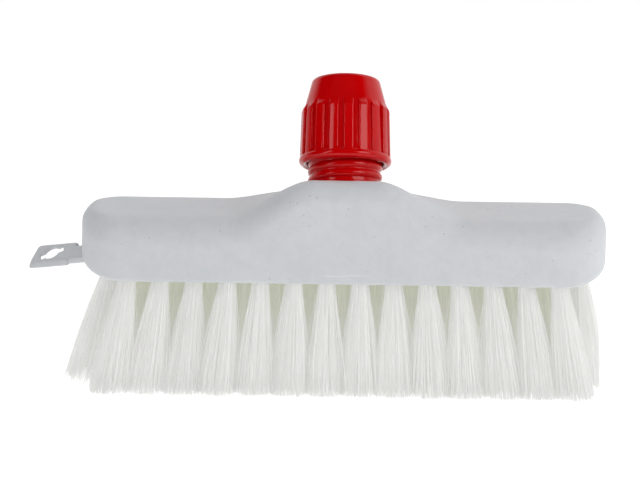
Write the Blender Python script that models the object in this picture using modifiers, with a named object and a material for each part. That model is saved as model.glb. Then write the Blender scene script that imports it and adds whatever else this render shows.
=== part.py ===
"""Floor scrub brush head with a clamp nut for a round handle.

The block stands on its bristles: +Z is up, +X runs along the block, and the handle leans
back towards +Y. Each piece is drawn with the origin on the floor under the middle of the block,
and the whole brush is then moved to put the origin under the middle of its box. Sizes are in
metres.
"""

import math

import bpy
import bmesh
from mathutils import Matrix, Vector

COLLECTION_NAME = "floor_scrub_brush"
CUTTER_COLLECTION_NAME = "cutters"

# Gap between pieces that touch
SEAT_GAP = 0.0003

# Block, a foamed moulding with a hump for the handle socket
BLOCK_LENGTH = 0.280
BLOCK_WIDTH = 0.052
BLOCK_HEIGHT = 0.034
BLOCK_END_RADIUS = 0.022
BLOCK_TOP_RADIUS = 0.014
BLOCK_BOTTOM_RADIUS = 0.003
BLOCK_END_TOP_RADIUS = 0.009
BLOCK_END_BOTTOM_RADIUS = 0.012
HUMP_CREST_RADIUS = 0.0105
HUMP_REACH = 0.0637
HUMP_RUN = 0.0467

# Sections of the block, and how much of a thin section its rounded edges may take
HUMP_STATIONS = 11
END_STATIONS = 6
BOTTOM_EDGE_STEPS = 3
TOP_EDGE_STEPS = 5
TOP_ROUNDING_LIMIT = 0.48
BOTTOM_ROUNDING_LIMIT = 0.40

# Bristle tufts, drilled in four rows with one more tuft at each end
BRISTLE_LENGTH = 0.0635
OUTER_ROW_COUNT = 14
INNER_ROW_COUNT = 13
ROW_END_SETBACK = 0.02495
ROW_SIDE_SETBACK = 0.00875
LEFT_END_TUFT_SETBACK = 0.0160
RIGHT_END_TUFT_SETBACK = 0.0135
TUFT_HOLE_DIAMETER = 0.0075
TUFT_HOLE_DEPTH = 0.0115
TUFT_PLUG_SIDES = 8
STRANDS_PER_TUFT = 8
STRAND_SIDES = 3
STRAND_RADIUS = 0.00062
STRAND_ROOT_SPREAD = 0.0025
LENGTHWISE_LEAN = math.radians(9.0)
OUTER_ROW_LEAN = math.radians(6.0)
INNER_ROW_LEAN = math.radians(2.0)
LEFT_END_LEAN = math.radians(14.0)
RIGHT_END_LEAN = math.radians(4.0)

# Hanging tab, moulded with the block and bent a little out of level
TAB_LENGTH = 0.0255
TAB_DEPTH = 0.0145
TAB_THICKNESS = 0.0022
TAB_CORNER_RADIUS = 0.0022
TAB_CORNER_STEPS = 5
TAB_NECK_DEPTH = 0.0100
TAB_NECK_LENGTH = 0.0078
TAB_ROOT_LENGTH = 0.0110
TAB_HEIGHT_ON_BLOCK = 0.0075
TAB_SWING = math.radians(30.0)
TAB_DROOP = math.radians(16.0)
TAB_TWIST = math.radians(25.0)
HANG_HOLE_DIAMETER = 0.0082
HANG_SLOT_LENGTH = 0.0125
HANG_SLOT_WIDTH = 0.0034
HANG_SLOT_ANGLE = math.radians(38.0)
HANG_HOLE_SIDES = 20

# Handle, its bore in the socket and the walls round it
HANDLE_TILT = math.radians(33.0)
HUMP_LAG = math.radians(4.3)
SOCKET_SEAT_Y = 0.0046
SEAT_RECESS = 0.0023
HANDLE_BORE = 0.0256
SPIGOT_WALL = 0.0027
COLLET_WALL = 0.0028
SOCKET_WALL = 0.0028
ROUND_STEPS = 36

# Threaded socket, its own Z along the handle
SPIGOT_LENGTH = 0.0220
SOCKET_FLOOR_THICKNESS = 0.0030
BARB_COUNT = 2
BARB_HEIGHT = 0.0007
BARB_LENGTH = 0.0030
BARB_PITCH = 0.0060
KEY_WIDTH = 0.0040
SPIGOT_KEY_HEIGHT = 0.0014
COLLAR_OVERHANG = 0.0006
COLLAR_HEIGHT = 0.0012
SOCKET_TOP_GAP = 0.00055
THREAD_PITCH = 0.0050
THREAD_DEPTH = 0.0013
THREAD_BASE_WIDTH = 0.0042
THREAD_START_ANGLE = math.radians(72.0)
THREAD_STEPS = 18
THREAD_CLEARANCE = 0.00045
THREAD_SHOULDER_RISE = 0.70
THREAD_SHOULDER_WIDTH = 0.62
WIDEST_THREAD_SHARE = 0.98

# Clamp nut, drawn as it stands in the photograph, partly unscrewed
NUT_STANDOFF = 0.0135
NUT_HEIGHT = 0.0474
NUT_FLANGE_WALL = 0.0048
NUT_FLANGE_HEIGHT = 0.0052
NUT_FLANGE_STEPS = 5
NUT_FLANGE_ROLL_START = math.radians(60.0)
NUT_MOUTH_CLEARANCE = 0.00075
NUT_MOUTH_DEPTH = 0.0030
NUT_TOP_WALL = 0.00445
NUT_TOP_ROUND = 0.0016
NUT_TOP_STEPS = 2
NUT_SHOULDER_WALL = 0.0016
NUT_WAIST_WALL = 0.0029
NUT_OPENING_CLEARANCE = 0.0008
RIB_COUNT = 18
RIB_WIDTH = 0.0052
RIB_FOOT_HEIGHT = 0.00125
RIB_HEAD_HEIGHT = 0.0014
RIB_TO_TOP = 0.0159
RIB_HEAD_LENGTH = 0.0015
RIB_ROUND = 0.0006
RIB_FIRST_ANGLE = math.radians(-7.0)
SNAP_BEAD_CLEARANCE = 0.0018
SNAP_BEAD_WIDTH = 0.0008
SNAP_BEAD_TOP = 0.0254
CONE_TO_TOP = 0.0034

# Grip collet, split and held captive by the bead in the nut
TIGHTENING_TURNS = 0.75
COLLET_TAIL_LENGTH = 0.0200
COLLET_TOP_SETBACK = 0.0035
COLLET_SHOULDER_HEIGHT = 0.0011
COLLET_CONE_GAP = 0.00035
COLLET_SLIT_WIDTH = 0.0016
COLLET_SLIT_SETBACK = 0.0100
COLLET_KEY_LENGTH = 0.0060
COLLET_KEY_HEIGHT = 0.0014
COLLET_KEY_ANGLE = math.radians(45.0)

# Colours as linear red, green and blue
BLOCK_GREY = (0.55, 0.56, 0.58)
SOCKET_RED = (0.42, 0.002, 0.006)
COLLET_WHITE = (0.75, 0.75, 0.72)
BRISTLE_WHITE = (0.80, 0.80, 0.76)

# Block and rows, worked out from the sizes above
BLOCK_BASE = BRISTLE_LENGTH
BLOCK_TOP = BLOCK_BASE + BLOCK_HEIGHT
HUMP_SLOPE = math.tan(HANDLE_TILT - HUMP_LAG)
HUMP_RISE = HUMP_SLOPE * BLOCK_WIDTH
SOCKET_SEAT_Z = BLOCK_TOP + HUMP_SLOPE * (BLOCK_WIDTH / 2 - SOCKET_SEAT_Y) - SEAT_RECESS
ROW_SPAN = BLOCK_LENGTH - 2 * ROW_END_SETBACK
TUFT_PITCH = ROW_SPAN / (OUTER_ROW_COUNT - 1)
ROW_PITCH = (BLOCK_WIDTH - 2 * ROW_SIDE_SETBACK) / 3
OUTER_ROW_OFFSET = 1.5 * ROW_PITCH
INNER_ROW_OFFSET = 0.5 * ROW_PITCH

# Diameters, each from the one inside it
SPIGOT_DIAMETER = HANDLE_BORE + 2 * SPIGOT_WALL
COLLET_TAIL_DIAMETER = HANDLE_BORE + 2 * COLLET_WALL
COUNTERBORE_DIAMETER = COLLET_TAIL_DIAMETER + 2 * SEAT_GAP
THREAD_CORE_DIAMETER = COUNTERBORE_DIAMETER + 2 * SOCKET_WALL
THREAD_DIAMETER = THREAD_CORE_DIAMETER + 2 * THREAD_DEPTH
COLLAR_DIAMETER = THREAD_DIAMETER + 2 * COLLAR_OVERHANG
NUT_MOUTH_DIAMETER = THREAD_DIAMETER + 2 * NUT_MOUTH_CLEARANCE
NUT_SHOULDER_DIAMETER = THREAD_DIAMETER + 2 * NUT_SHOULDER_WALL
NUT_WAIST_DIAMETER = THREAD_DIAMETER + 2 * NUT_WAIST_WALL
NUT_FLANGE_DIAMETER = THREAD_DIAMETER + 2 * NUT_FLANGE_WALL
NUT_OPENING_DIAMETER = HANDLE_BORE + 2 * NUT_OPENING_CLEARANCE
NUT_TOP_DIAMETER = NUT_OPENING_DIAMETER + 2 * NUT_TOP_WALL
RIB_FOOT_DIAMETER = NUT_WAIST_DIAMETER + 2 * RIB_FOOT_HEIGHT
RIB_HEAD_DIAMETER = NUT_SHOULDER_DIAMETER + 2 * RIB_HEAD_HEIGHT
SNAP_BEAD_DIAMETER = COLLET_TAIL_DIAMETER + 2 * SNAP_BEAD_CLEARANCE

# Heights: in the nut from its lower face, elsewhere along the handle from the seat
CONE_BOTTOM = SNAP_BEAD_TOP + SNAP_BEAD_WIDTH
CONE_TOP = NUT_HEIGHT - CONE_TO_TOP
SNAP_BEAD_FOOT = SNAP_BEAD_TOP - 2 * SNAP_BEAD_WIDTH
RIB_TOP = NUT_HEIGHT - RIB_TO_TOP
NUT_CONE_BOTTOM_RADIUS = THREAD_CORE_DIAMETER / 2 + THREAD_CLEARANCE - SEAT_GAP
CONE_SLOPE = (NUT_CONE_BOTTOM_RADIUS - NUT_OPENING_DIAMETER / 2) / (CONE_TOP - CONE_BOTTOM)
TIGHTENING_TRAVEL = TIGHTENING_TURNS * THREAD_PITCH
SOCKET_TOP = NUT_STANDOFF + SNAP_BEAD_FOOT - TIGHTENING_TRAVEL - SOCKET_TOP_GAP
THREAD_START = SEAT_GAP * 2 + THREAD_BASE_WIDTH / 2
THREAD_TURNS = math.floor((SOCKET_TOP - THREAD_START - THREAD_BASE_WIDTH / 2) / THREAD_PITCH)
COLLET_SHOULDER = NUT_STANDOFF + CONE_BOTTOM + SEAT_GAP
COLLET_TAIL_BOTTOM = COLLET_SHOULDER - COLLET_TAIL_LENGTH
COLLET_TOP = NUT_STANDOFF + CONE_TOP - COLLET_TOP_SETBACK
COLLET_SLIT_BOTTOM = COLLET_TAIL_BOTTOM + COLLET_SLIT_SETBACK
COUNTERBORE_FLOOR = COLLET_TAIL_BOTTOM - TIGHTENING_TRAVEL - SEAT_GAP


def clear_scene():
    """Remove every object that the start-up file holds."""
    for item in list(bpy.data.objects):
        bpy.data.objects.remove(item, do_unlink=True)


def new_collection(name):
    """Make a collection under the scene's own."""
    collection = bpy.data.collections.new(name)
    bpy.context.scene.collection.children.link(collection)
    return collection


def plastic(name, colour, roughness):
    """A plain moulded plastic with one colour."""
    material = bpy.data.materials.new(name)
    material.use_nodes = True
    shader = material.node_tree.nodes["Principled BSDF"]
    shader.inputs["Base Color"].default_value = (*colour, 1.0)
    shader.inputs["Roughness"].default_value = roughness
    shader.inputs["Metallic"].default_value = 0.0
    material.diffuse_color = (*colour, 1.0)
    return material


def object_from_bmesh(name, bm, collection):
    """Store a bmesh as a named object with its faces turned outwards."""
    bmesh.ops.recalc_face_normals(bm, faces=bm.faces)
    mesh = bpy.data.meshes.new(name)
    bm.to_mesh(mesh)
    bm.free()
    item = bpy.data.objects.new(name, mesh)
    collection.objects.link(item)
    return item


def mark_cutter(item):
    """Show a cutter as wire and keep it out of the render."""
    item.hide_render = True
    item.display_type = "WIRE"


def evaluated_mesh(item):
    """Mesh of an object with its modifiers worked out."""
    bpy.context.view_layer.update()
    depsgraph = bpy.context.evaluated_depsgraph_get()
    return bpy.data.meshes.new_from_object(item.evaluated_get(depsgraph))


def apply_modifiers(item):
    """Swap an object's mesh for its evaluated one."""
    mesh = evaluated_mesh(item)
    old = item.data
    item.modifiers.clear()
    item.data = mesh
    mesh.name = item.name
    bpy.data.meshes.remove(old)


def add_boolean(item, cutter, operation):
    """Boolean modifier with the exact solver."""
    modifier = item.modifiers.new(operation.lower(), "BOOLEAN")
    modifier.operation = operation
    modifier.object = cutter
    modifier.solver = "EXACT"


def combine(item, other, operation):
    """Join or cut with another solid, then remove that solid."""
    add_boolean(item, other, operation)
    apply_modifiers(item)
    other_mesh = other.data
    bpy.data.objects.remove(other)
    bpy.data.meshes.remove(other_mesh)


def join_rings(bm, rings):
    """Skin a list of closed rings of points with quads and close both ends."""
    loops = [[bm.verts.new(point) for point in ring] for ring in rings]
    count = len(loops[0])
    for lower, upper in zip(loops, loops[1:]):
        for i in range(count):
            j = (i + 1) % count
            bm.faces.new((lower[i], lower[j], upper[j], upper[i]))
    bm.faces.new(loops[0])
    bm.faces.new(loops[-1])


def turned(name, profile, collection, closed=True, steps=ROUND_STEPS):
    """Turn a profile of radius and height pairs about Z with a Screw modifier."""
    mesh = bpy.data.meshes.new(name)
    points = [(radius, 0.0, height) for radius, height in profile]
    edges = [(i, i + 1) for i in range(len(points) - 1)]
    if closed:
        edges.append((len(points) - 1, 0))
    mesh.from_pydata(points, edges, [])
    item = bpy.data.objects.new(name, mesh)
    collection.objects.link(item)
    screw = item.modifiers.new("turn", "SCREW")
    screw.steps = steps
    screw.render_steps = steps
    screw.use_merge_vertices = True
    screw.merge_threshold = 0.00001
    apply_modifiers(item)
    return item


def helical_ridge(name, clearance, first_turn, turns, collection):
    """Knuckle thread ridge: a rounded section on a right-hand helix, closed at both ends.

    Turns are counted from the start of the socket's thread, so the groove in the nut, made
    with a clearance, lies on the same helix.
    """
    core = THREAD_CORE_DIAMETER / 2
    crest = THREAD_DIAMETER / 2 + clearance
    half_base = min(THREAD_BASE_WIDTH / 2 + clearance, WIDEST_THREAD_SHARE * THREAD_PITCH / 2)
    inner = core - 2 * THREAD_CLEARANCE
    shoulder = core + THREAD_SHOULDER_RISE * (crest - core)
    start = THREAD_START + first_turn * THREAD_PITCH
    profile = (
        (inner, half_base),
        (shoulder, THREAD_SHOULDER_WIDTH * half_base),
        (crest, 0.0),
        (shoulder, -THREAD_SHOULDER_WIDTH * half_base),
        (inner, -half_base),
    )
    mesh = bpy.data.meshes.new(name)
    points = [(radius, 0.0, start + height) for radius, height in profile]
    edges = [(i, (i + 1) % len(points)) for i in range(len(points))]
    mesh.from_pydata(points, edges, [])
    item = bpy.data.objects.new(name, mesh)
    collection.objects.link(item)
    screw = item.modifiers.new("thread", "SCREW")
    screw.steps = THREAD_STEPS
    screw.render_steps = THREAD_STEPS
    screw.iterations = turns
    screw.screw_offset = THREAD_PITCH
    screw.merge_threshold = 0.00001
    apply_modifiers(item)
    bm = bmesh.new()
    bm.from_mesh(item.data)
    rim = [edge for edge in bm.edges if edge.is_boundary]
    bmesh.ops.holes_fill(bm, edges=rim, sides=0)
    bmesh.ops.recalc_face_normals(bm, faces=bm.faces)
    bm.to_mesh(item.data)
    bm.free()
    item.data.transform(Matrix.Rotation(THREAD_START_ANGLE, 4, "Z"))
    return item


def key_bars(name, angles, inner, outer, bottom, top, width, collection):
    """Straight bars along Z that reach from one radius to another at given angles."""
    bm = bmesh.new()
    for angle in angles:
        size = Matrix.Diagonal((outer - inner, width, top - bottom, 1.0))
        place = Matrix.Translation(((outer + inner) / 2, 0.0, (top + bottom) / 2))
        turn = Matrix.Rotation(angle, 4, "Z")
        bmesh.ops.create_cube(bm, size=1.0, matrix=turn @ place @ size)
    return object_from_bmesh(name, bm, collection)


def on_handle_axis(item, along=0.0):
    """Turn an object's Z to the handle axis, with its origin a way along it from the seat."""
    tilt = Matrix.Rotation(-HANDLE_TILT, 4, "X")
    seat = Vector((0.0, SOCKET_SEAT_Y, SOCKET_SEAT_Z))
    item.location = seat + tilt @ Vector((0.0, 0.0, along))
    item.rotation_euler = (-HANDLE_TILT, 0.0, 0.0)
    bpy.context.view_layer.update()


def shade(item, material, angle=35.0):
    """Give an object its material and smooth shading across its round faces."""
    item.data.materials.clear()
    item.data.materials.append(material)
    for face in item.data.polygons:
        face.material_index = 0
    item.data.shade_smooth()
    item.data.set_sharp_from_angle(angle=math.radians(angle))


def smooth_ramp(value):
    """Rise from 0 to 1 with level ends."""
    t = min(max(value, 0.0), 1.0)
    return t * t * (3.0 - 2.0 * t)


def hump_share(x):
    """Share of the full hump height at a place along the block."""
    return smooth_ramp((HUMP_REACH - abs(x)) / HUMP_RUN)


def end_inset(x, radius):
    """How far a round end of this radius draws the section in at a place along the block."""
    past = abs(x) - (BLOCK_LENGTH / 2 - radius)
    if past <= 0.0:
        return 0.0
    return radius - math.sqrt(max(radius * radius - past * past, 0.0))


def fillet(before, corner, after, radius, steps):
    """Points of the arc that rounds one corner of an outline."""
    to_before = (before - corner).normalized()
    to_after = (after - corner).normalized()
    half = to_before.angle(to_after) / 2
    centre = corner + (to_before + to_after).normalized() * (radius / math.sin(half))
    start = corner + to_before * (radius / math.tan(half)) - centre
    end = corner + to_after * (radius / math.tan(half)) - centre
    sweep = start.angle(end)
    points = []
    for i in range(steps + 1):
        part = i / steps
        first = math.sin((1.0 - part) * sweep) / math.sin(sweep)
        second = math.sin(part * sweep) / math.sin(sweep)
        points.append(centre + start * first + end * second)
    return points


def block_section(x):
    """Closed outline of the block across its width at a place along it."""
    half = BLOCK_WIDTH / 2 - end_inset(x, BLOCK_END_RADIUS)
    low = BLOCK_BASE + end_inset(x, BLOCK_END_BOTTOM_RADIUS)
    back_top = BLOCK_TOP - end_inset(x, BLOCK_END_TOP_RADIUS)
    share = hump_share(x)
    front_top = back_top + HUMP_RISE * share
    crest_radius = BLOCK_TOP_RADIUS + (HUMP_CREST_RADIUS - BLOCK_TOP_RADIUS) * share
    room = min(2 * half, back_top - low)
    top_limit = TOP_ROUNDING_LIMIT * room
    bottom_radius = min(BLOCK_BOTTOM_RADIUS, BOTTOM_ROUNDING_LIMIT * room)
    corners = [
        Vector((-half, low)),
        Vector((half, low)),
        Vector((half, back_top)),
        Vector((-half, front_top)),
    ]
    radii = (bottom_radius, bottom_radius, min(BLOCK_TOP_RADIUS, top_limit),
             min(crest_radius, top_limit))
    steps = (BOTTOM_EDGE_STEPS, BOTTOM_EDGE_STEPS, TOP_EDGE_STEPS, TOP_EDGE_STEPS)
    outline = []
    for i in range(4):
        outline += fillet(corners[i - 1], corners[i], corners[(i + 1) % 4], radii[i], steps[i])
    return [Vector((x, point.x, point.y)) for point in outline]


def block_stations():
    """Places along the block for its sections, closer at the round ends and on the hump."""
    straight = BLOCK_LENGTH / 2 - BLOCK_END_RADIUS
    half = [HUMP_REACH * i / HUMP_STATIONS for i in range(HUMP_STATIONS + 1)]
    half = [x for x in half if x < straight - BLOCK_BOTTOM_RADIUS]
    for i in range(END_STATIONS + 1):
        half.append(straight + BLOCK_END_RADIUS * math.sin(math.pi / 2 * i / END_STATIONS))
    return [-x for x in reversed(half[1:])] + half


def tuft_places():
    """Name, root place and lengthwise and crosswise lean of every tuft."""
    rows = (
        ("front", -OUTER_ROW_OFFSET, OUTER_ROW_COUNT, -OUTER_ROW_LEAN),
        ("inner_front", -INNER_ROW_OFFSET, INNER_ROW_COUNT, -INNER_ROW_LEAN),
        ("inner_back", INNER_ROW_OFFSET, INNER_ROW_COUNT, INNER_ROW_LEAN),
        ("back", OUTER_ROW_OFFSET, OUTER_ROW_COUNT, OUTER_ROW_LEAN),
    )
    places = []
    for row, y, count, crosswise in rows:
        for i in range(count):
            x = (i - (count - 1) / 2) * TUFT_PITCH
            name = f"tuft_{row}_{i + 1:02d}"
            places.append((name, x, y, LENGTHWISE_LEAN * x / (ROW_SPAN / 2), crosswise))
    left_x = LEFT_END_TUFT_SETBACK - BLOCK_LENGTH / 2
    right_x = BLOCK_LENGTH / 2 - RIGHT_END_TUFT_SETBACK
    places.append(("tuft_end_left", left_x, 0.0, -LEFT_END_LEAN, 0.0))
    places.append(("tuft_end_right", right_x, 0.0, RIGHT_END_LEAN, 0.0))
    return places


def tuft_direction(lengthwise, crosswise):
    """Way that a tuft points, from its root down to its tips."""
    return Vector((math.tan(lengthwise), math.tan(crosswise), -1.0))


def tip_spread():
    """Radius that a tuft's strands fan out to at the floor, clear of the tufts beside it."""
    inner = INNER_ROW_OFFSET + BRISTLE_LENGTH * math.tan(INNER_ROW_LEAN)
    outer = OUTER_ROW_OFFSET + BRISTLE_LENGTH * math.tan(OUTER_ROW_LEAN)
    along = TUFT_PITCH + BRISTLE_LENGTH * math.tan(LENGTHWISE_LEAN * TUFT_PITCH / (ROW_SPAN / 2))
    nearest = min(2 * inner, along, math.hypot(outer - inner, along / 2))
    return (nearest - SEAT_GAP) / 2 - STRAND_RADIUS


def round_bar(bm, top, bottom, radius, sides):
    """Straight round bar between two points."""
    run = bottom - top
    turn = run.to_track_quat("Z", "Y").to_matrix().to_4x4()
    place = Matrix.Translation((top + bottom) / 2)
    bmesh.ops.create_cone(bm, cap_ends=True, segments=sides, radius1=radius, radius2=radius,
                          depth=run.length, matrix=place @ turn)


def tuft_holes(collection):
    """One cutter for all the holes that the tufts are set in."""
    bm = bmesh.new()
    for _, x, y, lengthwise, crosswise in tuft_places():
        way = tuft_direction(lengthwise, crosswise)
        root = Vector((x, y, BLOCK_BASE))
        round_bar(bm, root - way * TUFT_HOLE_DEPTH, root + way * TUFT_HOLE_DEPTH / 2,
                  TUFT_HOLE_DIAMETER / 2, TUFT_PLUG_SIDES)
    return object_from_bmesh("tuft_holes", bm, collection)


def strand_places():
    """Places of the strands on a disc of radius 1, on a spiral of equal areas."""
    golden = math.pi * (3.0 - math.sqrt(5.0))
    places = []
    for i in range(STRANDS_PER_TUFT):
        radius = math.sqrt((i + 0.5) / STRANDS_PER_TUFT)
        places.append(Vector((math.cos(i * golden), math.sin(i * golden), 0.0)) * radius)
    return places


def tuft(name, x, y, lengthwise, crosswise, material, collection):
    """Root plug in its hole with strands that fan out to the floor, trimmed level there."""
    way = tuft_direction(lengthwise, crosswise)
    root = Vector((x, y, BLOCK_BASE))
    tip = root + way * BRISTLE_LENGTH
    plug_radius = TUFT_HOLE_DIAMETER / 2 - SEAT_GAP
    spread = tip_spread()
    bm = bmesh.new()
    round_bar(bm, root - way * (TUFT_HOLE_DEPTH - SEAT_GAP), root, plug_radius, TUFT_PLUG_SIDES)
    plug = object_from_bmesh(name, bm, collection)
    bm = bmesh.new()
    for place in strand_places():
        start = root - way * (TUFT_HOLE_DEPTH / 4) + place * STRAND_ROOT_SPREAD
        end = tip + place * spread
        rings = []
        for centre in (start, end):
            ring = []
            for i in range(STRAND_SIDES):
                turn = 2 * math.pi * i / STRAND_SIDES
                ring.append(centre + Vector((math.cos(turn), math.sin(turn), 0.0)) * STRAND_RADIUS)
            rings.append(ring)
        join_rings(bm, rings)
    strands = object_from_bmesh(name + "_strands", bm, collection)
    combine(plug, strands, "UNION")
    shade(plug, material)
    return plug


def flat_plate(name, outlines, thickness, collection):
    """Plate from closed outlines, the later ones being holes, as a filled 2D curve."""
    curve = bpy.data.curves.new(name, "CURVE")
    curve.dimensions = "2D"
    curve.fill_mode = "BOTH"
    curve.extrude = thickness / 2
    for outline in outlines:
        spline = curve.splines.new("POLY")
        spline.points.add(len(outline) - 1)
        for point, place in zip(spline.points, outline):
            point.co = (place[0], place[1], 0.0, 1.0)
        spline.use_cyclic_u = True
    drawn = bpy.data.objects.new(name + "_outline", curve)
    collection.objects.link(drawn)
    mesh = evaluated_mesh(drawn)
    bpy.data.objects.remove(drawn)
    bpy.data.curves.remove(curve)
    bm = bmesh.new()
    bm.from_mesh(mesh)
    bpy.data.meshes.remove(mesh)
    bmesh.ops.remove_doubles(bm, verts=bm.verts, dist=0.00001)
    return object_from_bmesh(name, bm, collection)


def tab_outline():
    """Outline of the hanging tab and its neck, from the far end to the root in the block."""
    half = TAB_DEPTH / 2
    neck = TAB_NECK_DEPTH / 2
    root = TAB_LENGTH + TAB_NECK_LENGTH + TAB_ROOT_LENGTH
    corners = (Vector((0.0, half)), Vector((0.0, -half)), Vector((TAB_LENGTH, -half)),
               Vector((TAB_LENGTH, half)))
    far = fillet(corners[3], corners[0], corners[1], TAB_CORNER_RADIUS, TAB_CORNER_STEPS)
    near = fillet(corners[0], corners[1], corners[2], TAB_CORNER_RADIUS, TAB_CORNER_STEPS)
    lower = fillet(corners[1], corners[2], corners[3], TAB_CORNER_RADIUS / 2, TAB_CORNER_STEPS)
    upper = fillet(corners[2], corners[3], corners[0], TAB_CORNER_RADIUS / 2, TAB_CORNER_STEPS)
    stem = [Vector((TAB_LENGTH, -neck)), Vector((root, -neck)), Vector((root, neck)),
            Vector((TAB_LENGTH, neck))]
    return far + near + lower + stem + upper


def hang_hole_outline():
    """Round hole with a short slot on either side of it, set at an angle on the tab."""
    radius = HANG_HOLE_DIAMETER / 2
    half_slot = HANG_SLOT_WIDTH / 2
    first = math.asin(half_slot / radius)
    centre = Vector((TAB_LENGTH / 2, 0.0))
    points = []
    for side in (0.0, math.pi):
        for i in range(HANG_HOLE_SIDES // 2 + 1):
            angle = side + first + (math.pi - 2 * first) * i / (HANG_HOLE_SIDES // 2)
            points.append(Vector((math.cos(angle), math.sin(angle))) * radius)
        along = -1.0 if side == 0.0 else 1.0
        for across in (-along, along):
            points.append(Vector((along * HANG_SLOT_LENGTH / 2, across * half_slot)))
    turn = Matrix.Rotation(HANG_SLOT_ANGLE, 2)
    return [centre + turn @ point for point in points]


def hanging_tab(collection):
    """Tab at the left end of the block, swung back, drooping and twisted as it hangs."""
    tab = flat_plate("hanging_tab", (tab_outline(), hang_hole_outline()), TAB_THICKNESS, collection)
    to_neck = Matrix.Translation((-(TAB_LENGTH + TAB_NECK_LENGTH), 0.0, 0.0))
    bend = (Matrix.Rotation(-TAB_SWING, 4, "Z") @ Matrix.Rotation(-TAB_DROOP, 4, "Y")
            @ Matrix.Rotation(TAB_TWIST, 4, "X"))
    place = Matrix.Translation((-BLOCK_LENGTH / 2, 0.0, BLOCK_BASE + TAB_HEIGHT_ON_BLOCK))
    tab.data.transform(place @ bend @ to_neck)
    return tab


def spigot_profile(clearance):
    """Radius and height pairs of the barbed spigot, from the seat down to the axis."""
    radius = SPIGOT_DIAMETER / 2 + clearance
    barb = radius + BARB_HEIGHT
    pairs = []
    for i in range(BARB_COUNT):
        top = -BARB_PITCH * (i + 1)
        foot = top - BARB_LENGTH
        pairs += [(radius, top + clearance), (barb, top + clearance), (radius, foot - clearance)]
    pairs.append((radius, -SPIGOT_LENGTH - clearance))
    return pairs


def socket_bore(collection):
    """Cutter for the seat, the barbed bore and its key slots in the block."""
    seat = COLLAR_DIAMETER / 2 + SEAT_GAP
    above = NUT_STANDOFF
    profile = [(0.0, above), (seat, above), (seat, 0.0), (SPIGOT_DIAMETER / 2 + SEAT_GAP, 0.0)]
    profile += spigot_profile(SEAT_GAP)
    profile.append((0.0, -SPIGOT_LENGTH - SEAT_GAP))
    bore = turned("socket_bore", profile, collection, closed=False)
    keys = spigot_keys(collection, SEAT_GAP)
    combine(bore, keys, "UNION")
    on_handle_axis(bore)
    return bore


def spigot_keys(collection, clearance):
    """Two keys that stop the socket turning in the block."""
    return key_bars("spigot_keys", (0.0, math.pi), SPIGOT_DIAMETER / 2 - KEY_WIDTH / 2,
                    SPIGOT_DIAMETER / 2 + SPIGOT_KEY_HEIGHT + clearance,
                    -SPIGOT_LENGTH + 2 * SEAT_GAP - clearance, -SEAT_GAP * 2 + clearance,
                    KEY_WIDTH + 2 * clearance, collection)


def brush_block(material, collection, cutters):
    """Foamed block with its hump, hanging tab, tuft holes and socket bore."""
    bm = bmesh.new()
    join_rings(bm, [block_section(x) for x in block_stations()])
    block = object_from_bmesh("brush_block", bm, collection)
    combine(block, hanging_tab(collection), "UNION")
    holes = tuft_holes(cutters)
    bore = socket_bore(cutters)
    for cutter in (holes, bore):
        mark_cutter(cutter)
        add_boolean(block, cutter, "DIFFERENCE")
    apply_modifiers(block)
    shade(block, material, 30.0)
    return block


def threaded_socket(material, collection):
    """Red socket: barbed spigot, seat collar, knuckle thread, bore and counterbore."""
    bore = HANDLE_BORE / 2
    counterbore = COUNTERBORE_DIAMETER / 2
    core = THREAD_CORE_DIAMETER / 2
    collar = COLLAR_DIAMETER / 2
    chamfer = 2 * SEAT_GAP
    profile = [
        (counterbore, SOCKET_TOP),
        (core - chamfer, SOCKET_TOP),
        (core, SOCKET_TOP - chamfer),
        (core, COLLAR_HEIGHT + chamfer),
        (collar, COLLAR_HEIGHT),
        (collar, SEAT_GAP),
        (SPIGOT_DIAMETER / 2, SEAT_GAP),
    ]
    profile += spigot_profile(0.0)
    profile += [
        (0.0, -SPIGOT_LENGTH),
        (0.0, SOCKET_FLOOR_THICKNESS - SPIGOT_LENGTH),
        (bore, SOCKET_FLOOR_THICKNESS - SPIGOT_LENGTH),
        (bore, COUNTERBORE_FLOOR),
        (counterbore, COUNTERBORE_FLOOR),
    ]
    start = profile.index((0.0, -SPIGOT_LENGTH)) + 1
    socket = turned("threaded_socket", profile[start:] + profile[:start], collection, closed=False)
    combine(socket, helical_ridge("ridge", 0.0, 0, THREAD_TURNS, collection), "UNION")
    combine(socket, spigot_keys(collection, 0.0), "UNION")
    slots = collet_keys("slots", COUNTERBORE_FLOOR, SOCKET_TOP + KEY_WIDTH, SEAT_GAP, collection)
    combine(socket, slots, "DIFFERENCE")
    on_handle_axis(socket)
    shade(socket, material)
    return socket


def collet_keys(name, bottom, top, clearance, collection):
    """Two opposite keys on the collet tail, or with a clearance the slots they slide in."""
    tail = COLLET_TAIL_DIAMETER / 2
    angles = (COLLET_KEY_ANGLE, COLLET_KEY_ANGLE + math.pi)
    return key_bars(name, angles, tail - KEY_WIDTH / 4,
                    tail + COLLET_KEY_HEIGHT + clearance, bottom, top,
                    KEY_WIDTH + 2 * clearance, collection)


def nut_cone_radius(height):
    """Radius of the cone inside the nut at a height above the nut's lower face."""
    return NUT_CONE_BOTTOM_RADIUS - CONE_SLOPE * (height - CONE_BOTTOM)


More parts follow.
